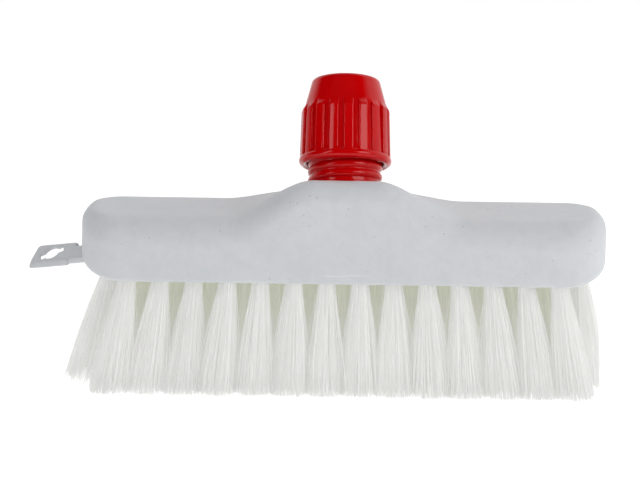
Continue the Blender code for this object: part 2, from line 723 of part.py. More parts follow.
def nut_profile():
    """Closed outline of the nut wall, down the outside and up the inside."""
    top = NUT_TOP_DIAMETER / 2
    flange = NUT_FLANGE_DIAMETER / 2
    mouth = NUT_MOUTH_DIAMETER / 2
    opening = NUT_OPENING_DIAMETER / 2
    waist = NUT_WAIST_DIAMETER / 2
    thread_bore = THREAD_CORE_DIAMETER / 2 + THREAD_CLEARANCE
    bead = SNAP_BEAD_DIAMETER / 2
    roll = NUT_FLANGE_HEIGHT / 2
    outside = []
    for i in range(NUT_TOP_STEPS + 1):
        angle = math.pi / 2 * (1 - i / NUT_TOP_STEPS)
        outside.append((top - NUT_TOP_ROUND + NUT_TOP_ROUND * math.cos(angle),
                        NUT_HEIGHT - NUT_TOP_ROUND + NUT_TOP_ROUND * math.sin(angle)))
    outside += [(NUT_SHOULDER_DIAMETER / 2, RIB_TOP), (waist, NUT_FLANGE_HEIGHT)]
    for i in range(NUT_FLANGE_STEPS + 1):
        angle = NUT_FLANGE_ROLL_START - (NUT_FLANGE_ROLL_START + math.pi / 2) * i / NUT_FLANGE_STEPS
        outside.append((flange - roll + roll * math.cos(angle), roll + roll * math.sin(angle)))
    inside = [
        (mouth, 0.0),
        (mouth, NUT_MOUTH_DEPTH),
        (thread_bore, NUT_MOUTH_DEPTH + mouth - thread_bore),
        (thread_bore, SNAP_BEAD_FOOT),
        (bead, SNAP_BEAD_TOP - SNAP_BEAD_WIDTH),
        (bead, SNAP_BEAD_TOP),
        (nut_cone_radius(CONE_BOTTOM), CONE_BOTTOM),
        (opening, CONE_TOP),
        (opening, NUT_HEIGHT - NUT_TOP_ROUND),
        (opening + NUT_TOP_ROUND / 2, NUT_HEIGHT),
    ]
    return outside + inside


def grip_ribs(collection):
    """Ribs round the nut: one side outline each, extruded across and turned to its place."""
    root = NUT_SHOULDER_DIAMETER / 2 - RIB_ROUND
    foot = RIB_FOOT_DIAMETER / 2
    head = RIB_HEAD_DIAMETER / 2
    outline = [
        Vector((root, NUT_FLANGE_HEIGHT / 2)),
        Vector((foot, NUT_FLANGE_HEIGHT / 2)),
        Vector((head, RIB_TOP - RIB_HEAD_LENGTH)),
        Vector((NUT_SHOULDER_DIAMETER / 2, RIB_TOP)),
        Vector((root, RIB_TOP)),
    ]
    rib = flat_plate("rib", (outline,), RIB_WIDTH, collection)
    bm = bmesh.new()
    bm.from_mesh(rib.data)
    outer = [edge for edge in bm.edges if rib_edge_is_outer(edge, root)]
    bmesh.ops.bevel(bm, geom=outer, offset=RIB_ROUND, segments=1, profile=0.5,
                    affect="EDGES", clamp_overlap=True)
    upright = Matrix.Rotation(math.pi / 2, 4, "X")
    bmesh.ops.transform(bm, matrix=upright, verts=bm.verts)
    bm.to_mesh(rib.data)
    bm.free()
    ring = bmesh.new()
    for i in range(RIB_COUNT):
        copy = rib.data.copy()
        copy.transform(Matrix.Rotation(RIB_FIRST_ANGLE + 2 * math.pi * i / RIB_COUNT, 4, "Z"))
        ring.from_mesh(copy)
        bpy.data.meshes.remove(copy)
    mesh = rib.data
    bpy.data.objects.remove(rib)
    bpy.data.meshes.remove(mesh)
    return object_from_bmesh("grip_ribs", ring, collection)


def rib_edge_is_outer(edge, root):
    """Whether an edge runs along the outer face of a rib, beside its flat side."""
    first, second = edge.verts
    along = abs(first.co.z - second.co.z) < 0.00001
    outward = min(first.co.x, second.co.x) > root + RIB_ROUND
    return along and outward and len(edge.link_faces) == 2


def clamp_nut(material, collection):
    """Ribbed nut with a rolled foot, an inner thread, a snap bead and a clamping cone."""
    nut = turned("clamp_nut", nut_profile(), collection)
    combine(nut, grip_ribs(collection), "UNION")
    bead_foot = NUT_STANDOFF + SNAP_BEAD_FOOT
    first = math.floor((NUT_STANDOFF - THREAD_START) / THREAD_PITCH)
    last = math.floor((bead_foot - THREAD_START - THREAD_BASE_WIDTH / 2) / THREAD_PITCH)
    groove = helical_ridge("groove", THREAD_CLEARANCE, first, last - first, collection)
    groove.data.transform(Matrix.Translation((0.0, 0.0, -NUT_STANDOFF)))
    combine(nut, groove, "DIFFERENCE")
    on_handle_axis(nut, NUT_STANDOFF)
    shade(nut, material)
    return nut


def grip_collet(material, collection):
    """Split collet with a cone under the nut's cone and a keyed tail in the socket."""
    bore = HANDLE_BORE / 2
    tail = COLLET_TAIL_DIAMETER / 2
    rim = COLLET_SHOULDER + COLLET_SHOULDER_HEIGHT
    widest = nut_cone_radius(rim - NUT_STANDOFF) - COLLET_CONE_GAP
    narrow = nut_cone_radius(COLLET_TOP - NUT_STANDOFF) - COLLET_CONE_GAP
    profile = [
        (bore + SEAT_GAP, COLLET_TOP),
        (narrow, COLLET_TOP),
        (widest, rim),
        (widest - COLLET_SHOULDER_HEIGHT / 2, COLLET_SHOULDER),
        (tail, COLLET_SHOULDER),
        (tail, COLLET_TAIL_BOTTOM),
        (bore, COLLET_TAIL_BOTTOM),
        (bore, COLLET_TOP - SEAT_GAP),
    ]
    collet = turned("grip_collet", profile, collection)
    keys = collet_keys("collet_keys", COLLET_TAIL_BOTTOM, COLLET_TAIL_BOTTOM + COLLET_KEY_LENGTH,
                       0.0, collection)
    combine(collet, keys, "UNION")
    slits = key_bars("slits", (0.0, math.pi / 2, math.pi, 1.5 * math.pi), bore / 2, 2 * bore,
                     COLLET_SLIT_BOTTOM, COLLET_TOP + bore, COLLET_SLIT_WIDTH, collection)
    combine(collet, slits, "DIFFERENCE")
    on_handle_axis(collet)
    shade(collet, material)
    return collet


def centre_over_origin(pieces):
    """Slide the whole brush along the floor until its box is centred over the origin."""
    bpy.context.view_layer.update()
    points = [item.matrix_world @ vertex.co for item in pieces for vertex in item.data.vertices]
    across = [point.x for point in points]
    deep = [point.y for point in points]
    middle = Vector(((min(across) + max(across)) / 2, (min(deep) + max(deep)) / 2, 0.0))
    for item in pieces:
        item.location -= middle
    bpy.context.view_layer.update()


def main():
    """Build every piece of the brush."""
    clear_scene()
    parts = new_collection(COLLECTION_NAME)
    cutters = new_collection(CUTTER_COLLECTION_NAME)
    foam = plastic("foamed_block_plastic", BLOCK_GREY, 0.55)
    red = plastic("red_socket_plastic", SOCKET_RED, 0.22)
    red_nut = plastic("red_nut_plastic", SOCKET_RED, 0.18)
    pale = plastic("collet_plastic", COLLET_WHITE, 0.4)
    filament = plastic("white_bristle_filament", BRISTLE_WHITE, 0.45)
    brush_block(foam, parts, cutters)
    threaded_socket(red, parts)
    grip_collet(pale, parts)
    clamp_nut(red_nut, parts)
    for name, x, y, lengthwise, crosswise in tuft_places():
        tuft(name, x, y, lengthwise, crosswise, filament, parts)
    centre_over_origin(parts.objects)


main()
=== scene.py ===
import math

import bmesh
import bpy
import numpy as np
from bpy.props import FloatProperty, FloatVectorProperty, IntProperty, PointerProperty
from mathutils import Matrix, Vector
from mathutils.geometry import tessellate_polygon


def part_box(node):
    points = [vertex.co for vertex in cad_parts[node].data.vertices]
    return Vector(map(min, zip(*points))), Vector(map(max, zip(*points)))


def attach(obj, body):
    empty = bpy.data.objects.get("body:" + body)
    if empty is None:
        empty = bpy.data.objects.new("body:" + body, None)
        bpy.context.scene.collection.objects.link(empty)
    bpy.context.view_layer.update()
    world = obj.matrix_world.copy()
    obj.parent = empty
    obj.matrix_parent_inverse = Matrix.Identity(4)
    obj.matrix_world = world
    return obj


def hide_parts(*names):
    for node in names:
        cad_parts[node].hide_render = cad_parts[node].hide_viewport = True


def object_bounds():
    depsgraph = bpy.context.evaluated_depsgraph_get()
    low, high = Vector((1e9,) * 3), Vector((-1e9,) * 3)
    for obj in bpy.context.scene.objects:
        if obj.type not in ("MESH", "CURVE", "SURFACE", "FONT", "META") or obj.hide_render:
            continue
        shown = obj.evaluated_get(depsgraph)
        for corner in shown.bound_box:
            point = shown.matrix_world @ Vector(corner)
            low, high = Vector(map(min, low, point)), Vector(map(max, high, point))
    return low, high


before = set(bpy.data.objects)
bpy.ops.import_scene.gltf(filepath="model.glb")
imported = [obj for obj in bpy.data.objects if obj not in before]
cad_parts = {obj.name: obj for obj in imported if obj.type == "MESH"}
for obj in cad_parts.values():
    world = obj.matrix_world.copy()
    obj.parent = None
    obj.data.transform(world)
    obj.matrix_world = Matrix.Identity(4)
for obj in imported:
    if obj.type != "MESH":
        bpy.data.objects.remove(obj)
CAD_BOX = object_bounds()

bl_info = {
    "name": "Floor scrub brush head",
    "version": (1, 0, 0),
    "blender": (4, 5, 0),
    "location": "View3D > Sidebar > Scrub brush",
    "description": "Foamed block, fanned tufts, threaded socket and clamp nut of a scrub brush",
    "category": "Add Mesh",
}

FULL_TURN = 2 * math.pi

# Seed of the random numbers that place the filaments
SEED = 20
# Points nearer to each other than this are one point, in metres
MERGE = 2e-6
# Small bevel that breaks a moulded edge, in metres
BEVEL = 0.0004
# Share of a turn over which the thread's ridge rises at its start and sinks at its end
RIDGE_FADE = 0.08
# Points across one pitch of the thread
RIDGE_POINTS = 23
# How far the spigot's barbs stand out, how long they are, and how far apart, in metres
BARB, BARB_LENGTH, BARB_PITCH = 0.0007, 0.003, 0.006

# The photograph is 640 by 480 pixels, and a camera's lens is given for a sensor this wide
PHOTO_WIDTH = 640
SENSOR_WIDTH_MM = 36.0
# How far the camera sees, in metres
CAMERA_RANGE = 20.0

# Places, widths and heights of the key, fill and top lights, and the point that they face
LIGHTS = (
    ("key_light", (0.70, -0.48, 0.58), (0.60, 0.55)),
    ("fill_light", (-0.66, -0.50, 0.52), (0.22, 0.70)),
    ("top_light", (-0.14, -0.22, 1.10), (1.20, 0.90)),
)
LIT_POINT = (0.0, 0.0, 0.08)
# The white paper stands this way from the brush, behind it and a little to the right
PAPER_WAY = (0.34, 0.94, -0.42)

# Height of the rubbed line, and the places on X and Y between which it fades in
SCUFF_HEIGHT = 0.0708
SCUFF_WINDOWS = (("X", 0.0, 0.008), ("X", 0.031, 0.020), ("Y", -0.020, -0.030))


def linear(code):
    """Turn an sRGB hex colour to linear red, green and blue."""
    channels = np.array([int(code[i:i + 2], 16) for i in (1, 3, 5)]) / 255.0
    curved = ((channels + 0.055) / 1.055) ** 2.4
    return tuple(np.where(channels > 0.04045, curved, channels / 12.92))


def metres(name, description, default):
    """A length property."""
    return FloatProperty(name=name, description=description, default=default, unit="LENGTH",
                         precision=5)


def degrees(name, description, default):
    """An angle property, given in degrees."""
    return FloatProperty(name=name, description=description, default=math.radians(default),
                         subtype="ANGLE")


def number(name, description, default):
    """A plain factor property."""
    return FloatProperty(name=name, description=description, default=default, precision=4)


def count(name, description, default):
    """A whole-number property."""
    return IntProperty(name=name, description=description, default=default, min=1)


def colour(name, description, code):
    """A colour property from an sRGB hex value."""
    return FloatVectorProperty(name=name, description=description, default=linear(code),
                               subtype="COLOR", size=3, min=0.0, max=1.0)


class BlockSizes(bpy.types.PropertyGroup):
    """Sizes of the foamed block and of its hump."""

    length: metres("Length", "Length of the block", 0.280)
    width: metres("Width", "Width of the block", 0.052)
    height: metres("Height", "Height of the block beside the hump", 0.034)
    end_radius: metres("End radius", "Radius of the ends, seen from above", 0.022)
    top_radius: metres("Top radius", "Radius of the long top edges", 0.014)
    bottom_radius: metres("Bottom radius", "Radius of the long bottom edges", 0.003)
    end_top_radius: metres("End top radius", "Radius of the ends' top, seen from the front", 0.009)
    end_rise: metres("End rise", "How far the underside rises in the round ends", 0.008)
    crest_radius: metres("Crest radius", "Radius of the hump's front crest", 0.0105)
    hump_reach: metres("Hump reach", "Half the hump's length", 0.0637)
    hump_run: metres("Hump run", "Length over which the hump rises", 0.0467)
    hump_slope: degrees("Hump slope", "How far the hump's top leans back", 28.7)
    base: metres("Base height", "Height of the block's underside over the floor", 0.0635)


class TabSizes(bpy.types.PropertyGroup):
    """Sizes of the hanging tab."""

    length: metres("Length", "Length of the tab without its neck", 0.0256)
    front: metres("Front", "Reach of the tab to the front of its middle line", 0.0084)
    back: metres("Back", "Reach of the tab to the back of its middle line", 0.0082)
    top: metres("Top", "Height of the tab's face over its middle plane", 0.0011)
    plate: metres("Plate", "Thickness of the tab's plate", 0.0015)
    border: metres("Border", "Depth of the turned-down border from the tab's face", 0.0029)
    edge: metres("Edge round", "Radius of the tab's moulded edges", 0.0004)
    bevel: metres("Bevel", "Width of the sloping border", 0.0016)
    bevel_drop: metres("Bevel drop", "How far the border slopes down to the edge", 0.0019)
    corner: metres("Corner radius", "Radius of the far corners", 0.0022)
    neck_front: metres("Neck front", "Reach of the neck to the front", 0.0072)
    neck_back: metres("Neck back", "Reach of the neck to the back", 0.0047)
    neck_length: metres("Neck length", "Length of the neck up to the block", 0.0066)
    root: metres("Root", "How far the neck runs into the block", 0.0110)
    height: metres("Height", "Height of the neck over the block's underside", 0.0075)
    swing: degrees("Swing", "How far the tab swings back", 30.0)
    droop: degrees("Droop", "How far the tab droops", 16.0)
    twist: degrees("Twist", "How far the tab is twisted", 25.0)
    hole: metres("Hang hole", "Diameter of the hang hole", 0.0088)
    slot_length: metres("Slot length", "Length over both slots beside the hole", 0.0138)
    slot_width: metres("Slot width", "Width of the slots", 0.0044)
    slot_angle: degrees("Slot angle", "Angle of the slots on the tab", 26.0)


class HandleSizes(bpy.types.PropertyGroup):
    """Sizes of the socket, collet and nut round the handle's bore."""

    tilt: degrees("Tilt", "How far the handle leans back", 33.0)
    seat_y: metres("Seat place", "Place of the seat behind the middle of the block", 0.0046)
    seat_recess: metres("Seat recess", "Depth of the seat under the hump's slope", 0.0023)
    bore: metres("Bore", "Bore for the handle", 0.0256)
    gap: metres("Seat gap", "Gap between pieces that touch", 0.0003)
    spigot: metres("Spigot", "Diameter of the spigot in the block", 0.0310)
    spigot_length: metres("Spigot length", "Length of the spigot", 0.0220)
    floor: metres("Floor", "Thickness of the socket's floor", 0.0030)
    counterbore: metres("Counterbore", "Diameter of the counterbore for the collet", 0.0318)
    counterbore_floor: metres("Counterbore floor", "Height where the counterbore ends", 0.01595)
    core: metres("Thread core", "Diameter of the thread's core", 0.0374)
    collar: metres("Collar", "Diameter of the collar on the seat", 0.0412)
    collar_height: metres("Collar height", "Height of the collar", 0.0012)
    top: metres("Socket top", "Height of the socket's top over the seat", 0.0330)
    pitch: metres("Pitch", "Pitch of the knuckle thread", 0.0050)
    depth: metres("Thread depth", "Height of the thread ridge", 0.0013)
    ridge: metres("Ridge width", "Width of the thread ridge at its foot", 0.0042)
    thread_start: metres("Thread start", "Height of the ridge's start", 0.0027)
    thread_turns: count("Thread turns", "Turns of the ridge", 5)
    start_angle: degrees("Start angle", "Angle at which the ridge starts", 72.0)
    clearance: metres("Thread clearance", "Clearance of the nut's thread", 0.00045)


class NutSizes(bpy.types.PropertyGroup):
    """Sizes of the ribbed clamp nut, along its own axis from its lower face."""

    standoff: metres("Standoff", "Height of the nut's lower face over the seat", 0.0135)
    height: metres("Height", "Height of the nut", 0.0468)
    flange: metres("Foot ring", "Diameter of the rolled foot ring", 0.0496)
    flange_height: metres("Foot ring height", "Height of the rolled foot ring", 0.0052)
    flange_drop: metres("Foot ring drop", "How far the ring hangs below the mouth", 0.0006)
    waist: metres("Waist", "Diameter between the ribs above the foot ring", 0.0464)
    shoulder: metres("Shoulder", "Diameter between the ribs at their heads", 0.0438)
    rim: metres("Top rim", "Diameter of the top rim", 0.0372)
    rim_round: metres("Rim round", "Radius of the top rim", 0.0030)
    mouth: metres("Mouth", "Diameter of the lower mouth", 0.0415)
    mouth_depth: metres("Mouth depth", "Depth of the lower mouth", 0.0030)
    opening: metres("Opening", "Diameter of the top opening", 0.0272)
    bead: metres("Snap bead", "Inner diameter of the bead that holds the collet", 0.0348)
    bead_top: metres("Bead top", "Height of the snap bead's top", 0.0254)
    bead_width: metres("Bead width", "Width of the snap bead", 0.0008)
    cone_top: metres("Cone top", "Height where the clamping cone ends", 0.0440)
    ribs: count("Ribs", "Number of grip ribs", 18)
    rib_width: metres("Rib width", "Width of a rib", 0.0058)
    rib_top: metres("Rib top", "Height of the ribs' heads", 0.0319)
    rib_foot: metres("Rib foot", "Diameter over the ribs at the foot ring", 0.0487)
    rib_head: metres("Rib head", "Diameter over the ribs at their heads", 0.0472)
    head_length: metres("Head length", "Length of the ribs' cut heads", 0.0031)
    rib_round: metres("Rib round", "Radius along the ribs' edges", 0.0010)
    first_rib: degrees("First rib", "Angle of the first rib", -7.0)


class ColletSizes(bpy.types.PropertyGroup):
    """Sizes of the split grip collet, along the handle from the seat."""

    wall: metres("Wall", "Wall of the collet's tail", 0.0028)
    shoulder: metres("Shoulder", "Height of the shoulder on the snap bead", 0.0400)
    tail_length: metres("Tail length", "Length of the keyed tail", 0.0200)
    top: metres("Top", "Height of the collet's top", 0.0540)
    rim_height: metres("Rim height", "Height of the shoulder's rim", 0.0011)
    cone_gap: metres("Cone gap", "Gap to the nut's cone", 0.00035)
    slit: metres("Slit", "Width of the four slits", 0.0016)
    slit_setback: metres("Slit setback", "Length of tail below the slits", 0.0100)
    key_length: metres("Key length", "Length of the two keys", 0.0060)
    key_width: metres("Key width", "Width of the two keys", 0.0040)
    key_height: metres("Key height", "Height of the two keys", 0.0014)


class BristleSizes(bpy.types.PropertyGroup):
    """Sizes of the tufts and of the filaments in them."""

    outer_count: count("Outer row", "Tufts in each outer row", 14)
    inner_count: count("Inner row", "Tufts in each inner row", 13)
    end_setback: metres("Row end", "Setback of the outer rows from the block's ends", 0.02495)
    side_setback: metres("Row side", "Setback of the outer rows from the block's sides", 0.00875)
    left_setback: metres("Left end tuft", "Setback of the left end tuft", 0.0160)
    right_setback: metres("Right end tuft", "Setback of the right end tuft", 0.0135)
    hole: metres("Hole", "Diameter of a drilled hole", 0.0075)
    hole_depth: metres("Hole depth", "Depth of a drilled hole", 0.0115)
    lean: degrees("Lengthwise lean", "Lean of the outermost tufts along the block", 9.0)
    outer_lean: degrees("Outer lean", "Lean of the outer rows across the block", 6.0)
    inner_lean: degrees("Inner lean", "Lean of the inner rows across the block", 2.0)
    left_lean: degrees("Left lean", "Lean of the left end tuft", 13.4)
    right_lean: degrees("Right lean", "Lean of the right end tuft", 6.5)
    filaments: count("Filaments", "Filament ends in each tuft", 320)
    filament: metres("Filament", "Diameter of a filament", 0.00032)
    root_radius: metres("Root radius", "Radius of a tuft where it leaves its hole", 0.0039)
    spread_along: metres("Spread along", "Radius of a tuft at the floor, along the block", 0.0112)
    spread_across: metres("Spread across", "Radius of a tuft at the floor, across it", 0.0072)
    end_fan: number("End fan", "Share of that spread across that an end tuft has", 1.8)


class Finishes(bpy.types.PropertyGroup):
    """Colours of the pieces."""

    foam: colour("Foamed block", "Body colour of the foamed polypropylene", "#D4D5D8")
    foam_shade: colour("Foam mottle", "Darker swirls in the foamed polypropylene", "#CDD0D4")
    speck: colour("Speck", "Colour in the pits and specks", "#8C8E92")
    grain: colour("Grain", "Colour of the pale grains and of the rubbed line", "#EEEEF0")
    red: colour("Red plastic", "Colour of the socket and nut", "#CE0004")
    filament: colour("Filament", "Colour of the filaments", "#FAFAF9")
    # Painted shade: the warmer, greyer white given to inner-row filaments near the block, where
    # the tufts shade one another
    filament_root_shade: colour("Filament root", "Colour of inner filaments near the block", "#F5F6EE")
    # Painted glow: strength of the filaments' emission, which stands in for light passed on inside
    # a tuft
    scatter: number("Scatter", "Light that spreads from filament to filament in a tuft", 0.082)
    collet: colour("Collet", "Colour of the natural plastic collet", "#E6E4DC")
    floor: colour("Floor", "Colour of the floor", "#E8E8E8")


class StageSettings(bpy.types.PropertyGroup):
    """Camera and lights."""

    azimuth: degrees("Azimuth", "Turn of the camera about the brush", 0.82)
    elevation: degrees("Elevation", "Height of the camera as an angle", 21.0)
    roll: degrees("Roll", "Clockwise roll of the picture", 1.15)
    distance: metres("Distance", "Distance of the camera from its target", 3.0)
    target_x: metres("Target X", "Target of the camera along the block", 0.00241)
    target_z: metres("Target Z", "Height of the camera's target", 0.07552)
    pixels_per_metre: number("Scale", "Pixels of the photograph to a metre at the target", 1862.0)
    world_strength: number("World", "Strength of the white paper behind the brush", 1.0)
    world_dark: number("Dark side", "Share of that strength on the camera's side", 0.02)
    key_power: number("Key light", "Power of the large soft light from the right, in watts", 3.6)
    fill_power: number("Fill light", "Power of the narrow soft light from the left, in watts", 1.5)
    top_power: number("Top light", "Power of the wide soft light above the camera, in watts", 4.4)
    floor_size: metres("Floor size", "Side of the floor", 8.0)


class BrushSettings(bpy.types.PropertyGroup):
    """Every setting of the brush."""

    block: PointerProperty(type=BlockSizes)
    tab: PointerProperty(type=TabSizes)
    handle: PointerProperty(type=HandleSizes)
    nut: PointerProperty(type=NutSizes)
    collet: PointerProperty(type=ColletSizes)
    bristle: PointerProperty(type=BristleSizes)
    finish: PointerProperty(type=Finishes)
    stage: PointerProperty(type=StageSettings)


def settings():
    """The scene's brush settings."""
    return bpy.context.scene.scrub_brush


def block_middle():
    """Point on the floor under the middle of the block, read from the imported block's box."""
    low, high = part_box("brush_block")
    return np.array((high[0] - settings().block.length / 2, (low[1] + high[1]) / 2, 0.0))


def handle_frame():
    """Seat of the socket and the three axes of the handle's frame, as rows."""
    sizes = settings()
    block, handle = sizes.block, sizes.handle
    rise = math.tan(block.hump_slope) * (block.width / 2 - handle.seat_y)
    height = block.base + block.height + rise - handle.seat_recess
    seat = block_middle() + np.array((0.0, handle.seat_y, height))
    lean, stand = math.sin(handle.tilt), math.cos(handle.tilt)
    axes = np.array(((1.0, 0.0, 0.0), (0.0, stand, -lean), (0.0, lean, stand)))
    return seat, axes


def on_handle(points, along=0.0):
    """Carry points drawn round Z to the handle's axis: seat + x X + y Y + (z + along) Z."""
    seat, axes = handle_frame()
    lifted = points + np.array((0.0, 0.0, along))
    return seat + lifted @ axes


def smooth_ramp(value):
    """Rise from 0 to 1 with level ends: 3 t squared minus 2 t cubed."""
    t = np.clip(value, 0.0, 1.0)
    return t * t * (3.0 - 2.0 * t)


def unit(vectors):
    """The same vectors, each one metre long."""
    return vectors / np.linalg.norm(vectors, axis=-1, keepdims=True)


def around_z(radius, angle, height):
    """Points at a radius, an angle about Z and a height, each array spread to fit the others."""
    return np.stack(np.broadcast_arrays(radius * np.cos(angle), radius * np.sin(angle), height),
                    axis=-1)


def grid_faces(rows, columns, wrap, first=0):
    """Quads of a grid of points stored row by row, its columns closed into rings if wrapped."""
    across = columns if wrap else columns - 1
    r, c = np.meshgrid(np.arange(rows - 1), np.arange(across), indexing="ij")
    near, far = r * columns, (r + 1) * columns
    right = (c + 1) % columns
    quads = (near + c, near + right, far + right, far + c)
    return np.stack(quads, axis=-1).reshape(-1, 4) + first


def mesh_from_arrays(name, points, faces):
    """Mesh from an array of points and a list of face arrays, each with one number of sides."""
    mesh = bpy.data.meshes.new(name)
    mesh.vertices.add(len(points))
    mesh.vertices.foreach_set("co", np.asarray(points, dtype=np.float32).ravel())
    corners = np.concatenate([face.ravel() for face in faces])
    sides = np.concatenate([np.full(len(face), face.shape[1]) for face in faces])
    mesh.loops.add(len(corners))
    mesh.loops.foreach_set("vertex_index", corners.astype(np.int32))
    mesh.polygons.add(len(sides))
    mesh.polygons.foreach_set("loop_start", (np.cumsum(sides) - sides).astype(np.int32))
    mesh.polygons.foreach_set("loop_total", sides.astype(np.int32))
    mesh.update(calc_edges=True)
    mesh.validate()
    return mesh


def add_object(name, data):
    """New object of the scene for a mesh, a light or a camera."""
    item = bpy.data.objects.new(name, data)
    bpy.context.scene.collection.objects.link(item)
    return item


def solid_from_mesh(mesh, merge=False):
    """Object of a closed mesh whose faces are turned outwards, after points that fall on one
    another are merged if asked.
    """
    bm = bmesh.new()
    bm.from_mesh(mesh)
    if merge:
        bmesh.ops.remove_doubles(bm, verts=bm.verts, dist=MERGE)
        bmesh.ops.dissolve_degenerate(bm, edges=bm.edges, dist=MERGE)
    bmesh.ops.recalc_face_normals(bm, faces=bm.faces)
    bm.to_mesh(mesh)
    bm.free()
    return add_object(mesh.name, mesh)


def solid_from_patches(name, patches, caps=()):
    """Closed solid from grids of points that meet edge to edge, and flat caps as index rows.

    A patch is a pair of a points array (rows, columns, 3) and whether its columns close a ring.
    """
    points, faces, first = [], [], 0
    for grid, wrap in patches:
        rows, columns = grid.shape[:2]
        faces.append(grid_faces(rows, columns, wrap, first))
        points.append(grid.reshape(-1, 3))
        first += rows * columns
    faces += [np.asarray(cap)[None, :] for cap in caps]
    return solid_from_mesh(mesh_from_arrays(name, np.concatenate(points), faces), merge=True)


def ring_angles(steps):
    """Even angles round a full turn, without the last one."""
    return np.arange(steps) * FULL_TURN / steps


def lathe(profile, angles):
    """Surface of revolution: radius and height pairs carried round Z at the given angles."""
    radius, height = np.asarray(profile).T[..., None]
    return around_z(radius, angles[None, :], height)


def arc_pairs(centre, radius, start, end, steps):
    """Radius and height pairs along an arc about a centre, in degrees from the radius axis."""
    angle = np.radians(np.linspace(start, end, steps + 1))
    return list(zip(centre[0] + radius * np.cos(angle), centre[1] + radius * np.sin(angle)))


def run_pairs(first, last, steps):
    """Evenly spaced radius and height pairs between two pairs, without both ends."""
    share = np.linspace(0.0, 1.0, steps + 1)[1:-1, None]
    return [tuple(pair) for pair in np.array(first) * (1 - share) + np.array(last) * share]


def ridge_height(across, turned, turns, depth, half_width):
    """Knuckle thread ridge: depth times (1 - t squared) to the power 0.8, t being the share of
    the half width, and faded in and out over a short part of its first and last turn.
    """
    t = np.clip(np.abs(across) / half_width, 0.0, 1.0)
    fade = smooth_ramp(turned / RIDGE_FADE) * smooth_ramp((turns - turned) / RIDGE_FADE)
    return depth * (1.0 - t * t) ** 0.8 * fade


def thread_band(angles, low, high, core, half_width, offset, first_turn, turns):
    """Threaded band between two heights: a strip one pitch wide, wound on a helix.

    The strip's rows follow the helix, so the ridge never crosses them: radius is the core's plus
    the ridge height at a distance across the strip, and height is the helix's height plus that
    distance, held between the band's two ends, where the radius is the core's.
    """
    handle = settings().handle
    start = handle.thread_start - offset
    below = math.floor((low - start) / handle.pitch) - 1
    above = math.ceil((high - start) / handle.pitch) + 1
    around = np.concatenate([angles + FULL_TURN * turn for turn in range(below, above + 1)])
    around = np.append(around, angles[0] + FULL_TURN * (above + 1))[:, None]
    turned = (around - handle.start_angle) / FULL_TURN
    across = np.linspace(-0.5, 0.5, RIDGE_POINTS)[None, :] * handle.pitch
    raw = start + handle.pitch * turned + across
    height = np.clip(raw, low, high)
    ridge = ridge_height(raw - start - handle.pitch * turned, turned - first_turn, turns,
                         handle.depth, half_width)
    return around_z(np.where(raw == height, core + ridge, core), around, height)


def combine(piece, other, operation):
    """Join or cut one piece with another by the exact solver, then drop the other."""
    modifier = piece.modifiers.new(operation.lower(), "BOOLEAN")
    modifier.operation = operation
    modifier.object = other
    modifier.solver = "EXACT"
    bpy.context.view_layer.update()
    depsgraph = bpy.context.evaluated_depsgraph_get()
    mesh = bpy.data.meshes.new_from_object(piece.evaluated_get(depsgraph))
    spent = (piece.data, other.data)
    piece.modifiers.clear()
    piece.data = mesh
    bpy.data.objects.remove(other)
    for used in spent:
        bpy.data.meshes.remove(used)
    mesh.name = piece.name


def finish_piece(piece, material, body, nodes, sharp=32.0):
    """Give a piece its material and shading, and tell the frame what it stands for."""
    mesh = piece.data
    mesh.materials.clear()
    mesh.materials.append(material)
    mesh.polygons.foreach_set("material_index", np.zeros(len(mesh.polygons), dtype=np.int32))
    mesh.shade_smooth()
    mesh.set_sharp_from_angle(angle=math.radians(sharp))
    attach(piece, body)
    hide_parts(*nodes)


def add_node(tree, kind, inputs=None, **options):
    """Add a shader node with its options, its input values and the links into it.

    An input is given as a value, as an output of a node, or as a node, which means its first
    output in use.
    """
    node = tree.nodes.new("ShaderNode" + kind)
    for key, value in options.items():
        setattr(node, key, value)
    for key, value in (inputs or {}).items():
        if isinstance(value, bpy.types.Node):
            value = next(output for output in value.outputs if output.enabled)
        if isinstance(value, bpy.types.NodeSocket):
            tree.links.new(value, node.inputs[key])
        else:
            node.inputs[key].default_value = value
    return node


def new_material(name):
    """An empty material and its node tree."""
    material = bpy.data.materials.new(name)
    material.use_nodes = True
    material.node_tree.nodes.clear()
    return material, material.node_tree


def per_metre(millimetres):
    """Texture scale for a pattern whose cells measure this many millimetres."""
    return 1000.0 / millimetres


def scuff_mask(tree, place):
    """Share of a shallow rubbed line low on the block's front, 30 mm long and about 1 mm wide.

    It is one at the line's height, which wanders by a noise, and fades out at either end and
    round the block's sides.
    """
    parts = add_node(tree, "SeparateXYZ", {"Vector": place}).outputs
    wobble = add_node(tree, "TexNoise", {"Vector": place, "Scale": per_metre(9.0), "Detail": 3.0})
    line = add_node(tree, "Math", {0: wobble, 1: 0.003, 2: parts["Z"]}, operation="MULTIPLY_ADD")
    off = add_node(tree, "Math", {0: line, 1: SCUFF_HEIGHT}, operation="SUBTRACT")
    off = add_node(tree, "Math", {0: off}, operation="ABSOLUTE")
    line = add_node(tree, "MapRange", {
        "Value": off, "From Min": 0.0007, "From Max": 0.0001, "To Max": 0.42})
    share, *others = [add_node(tree, "MapRange", {
        "Value": parts[axis], "From Min": none, "From Max": full})
        for axis, none, full in SCUFF_WINDOWS]
    for other in (*others, line):
        share = add_node(tree, "Math", {0: share, 1: other}, operation="MULTIPLY")
    return share


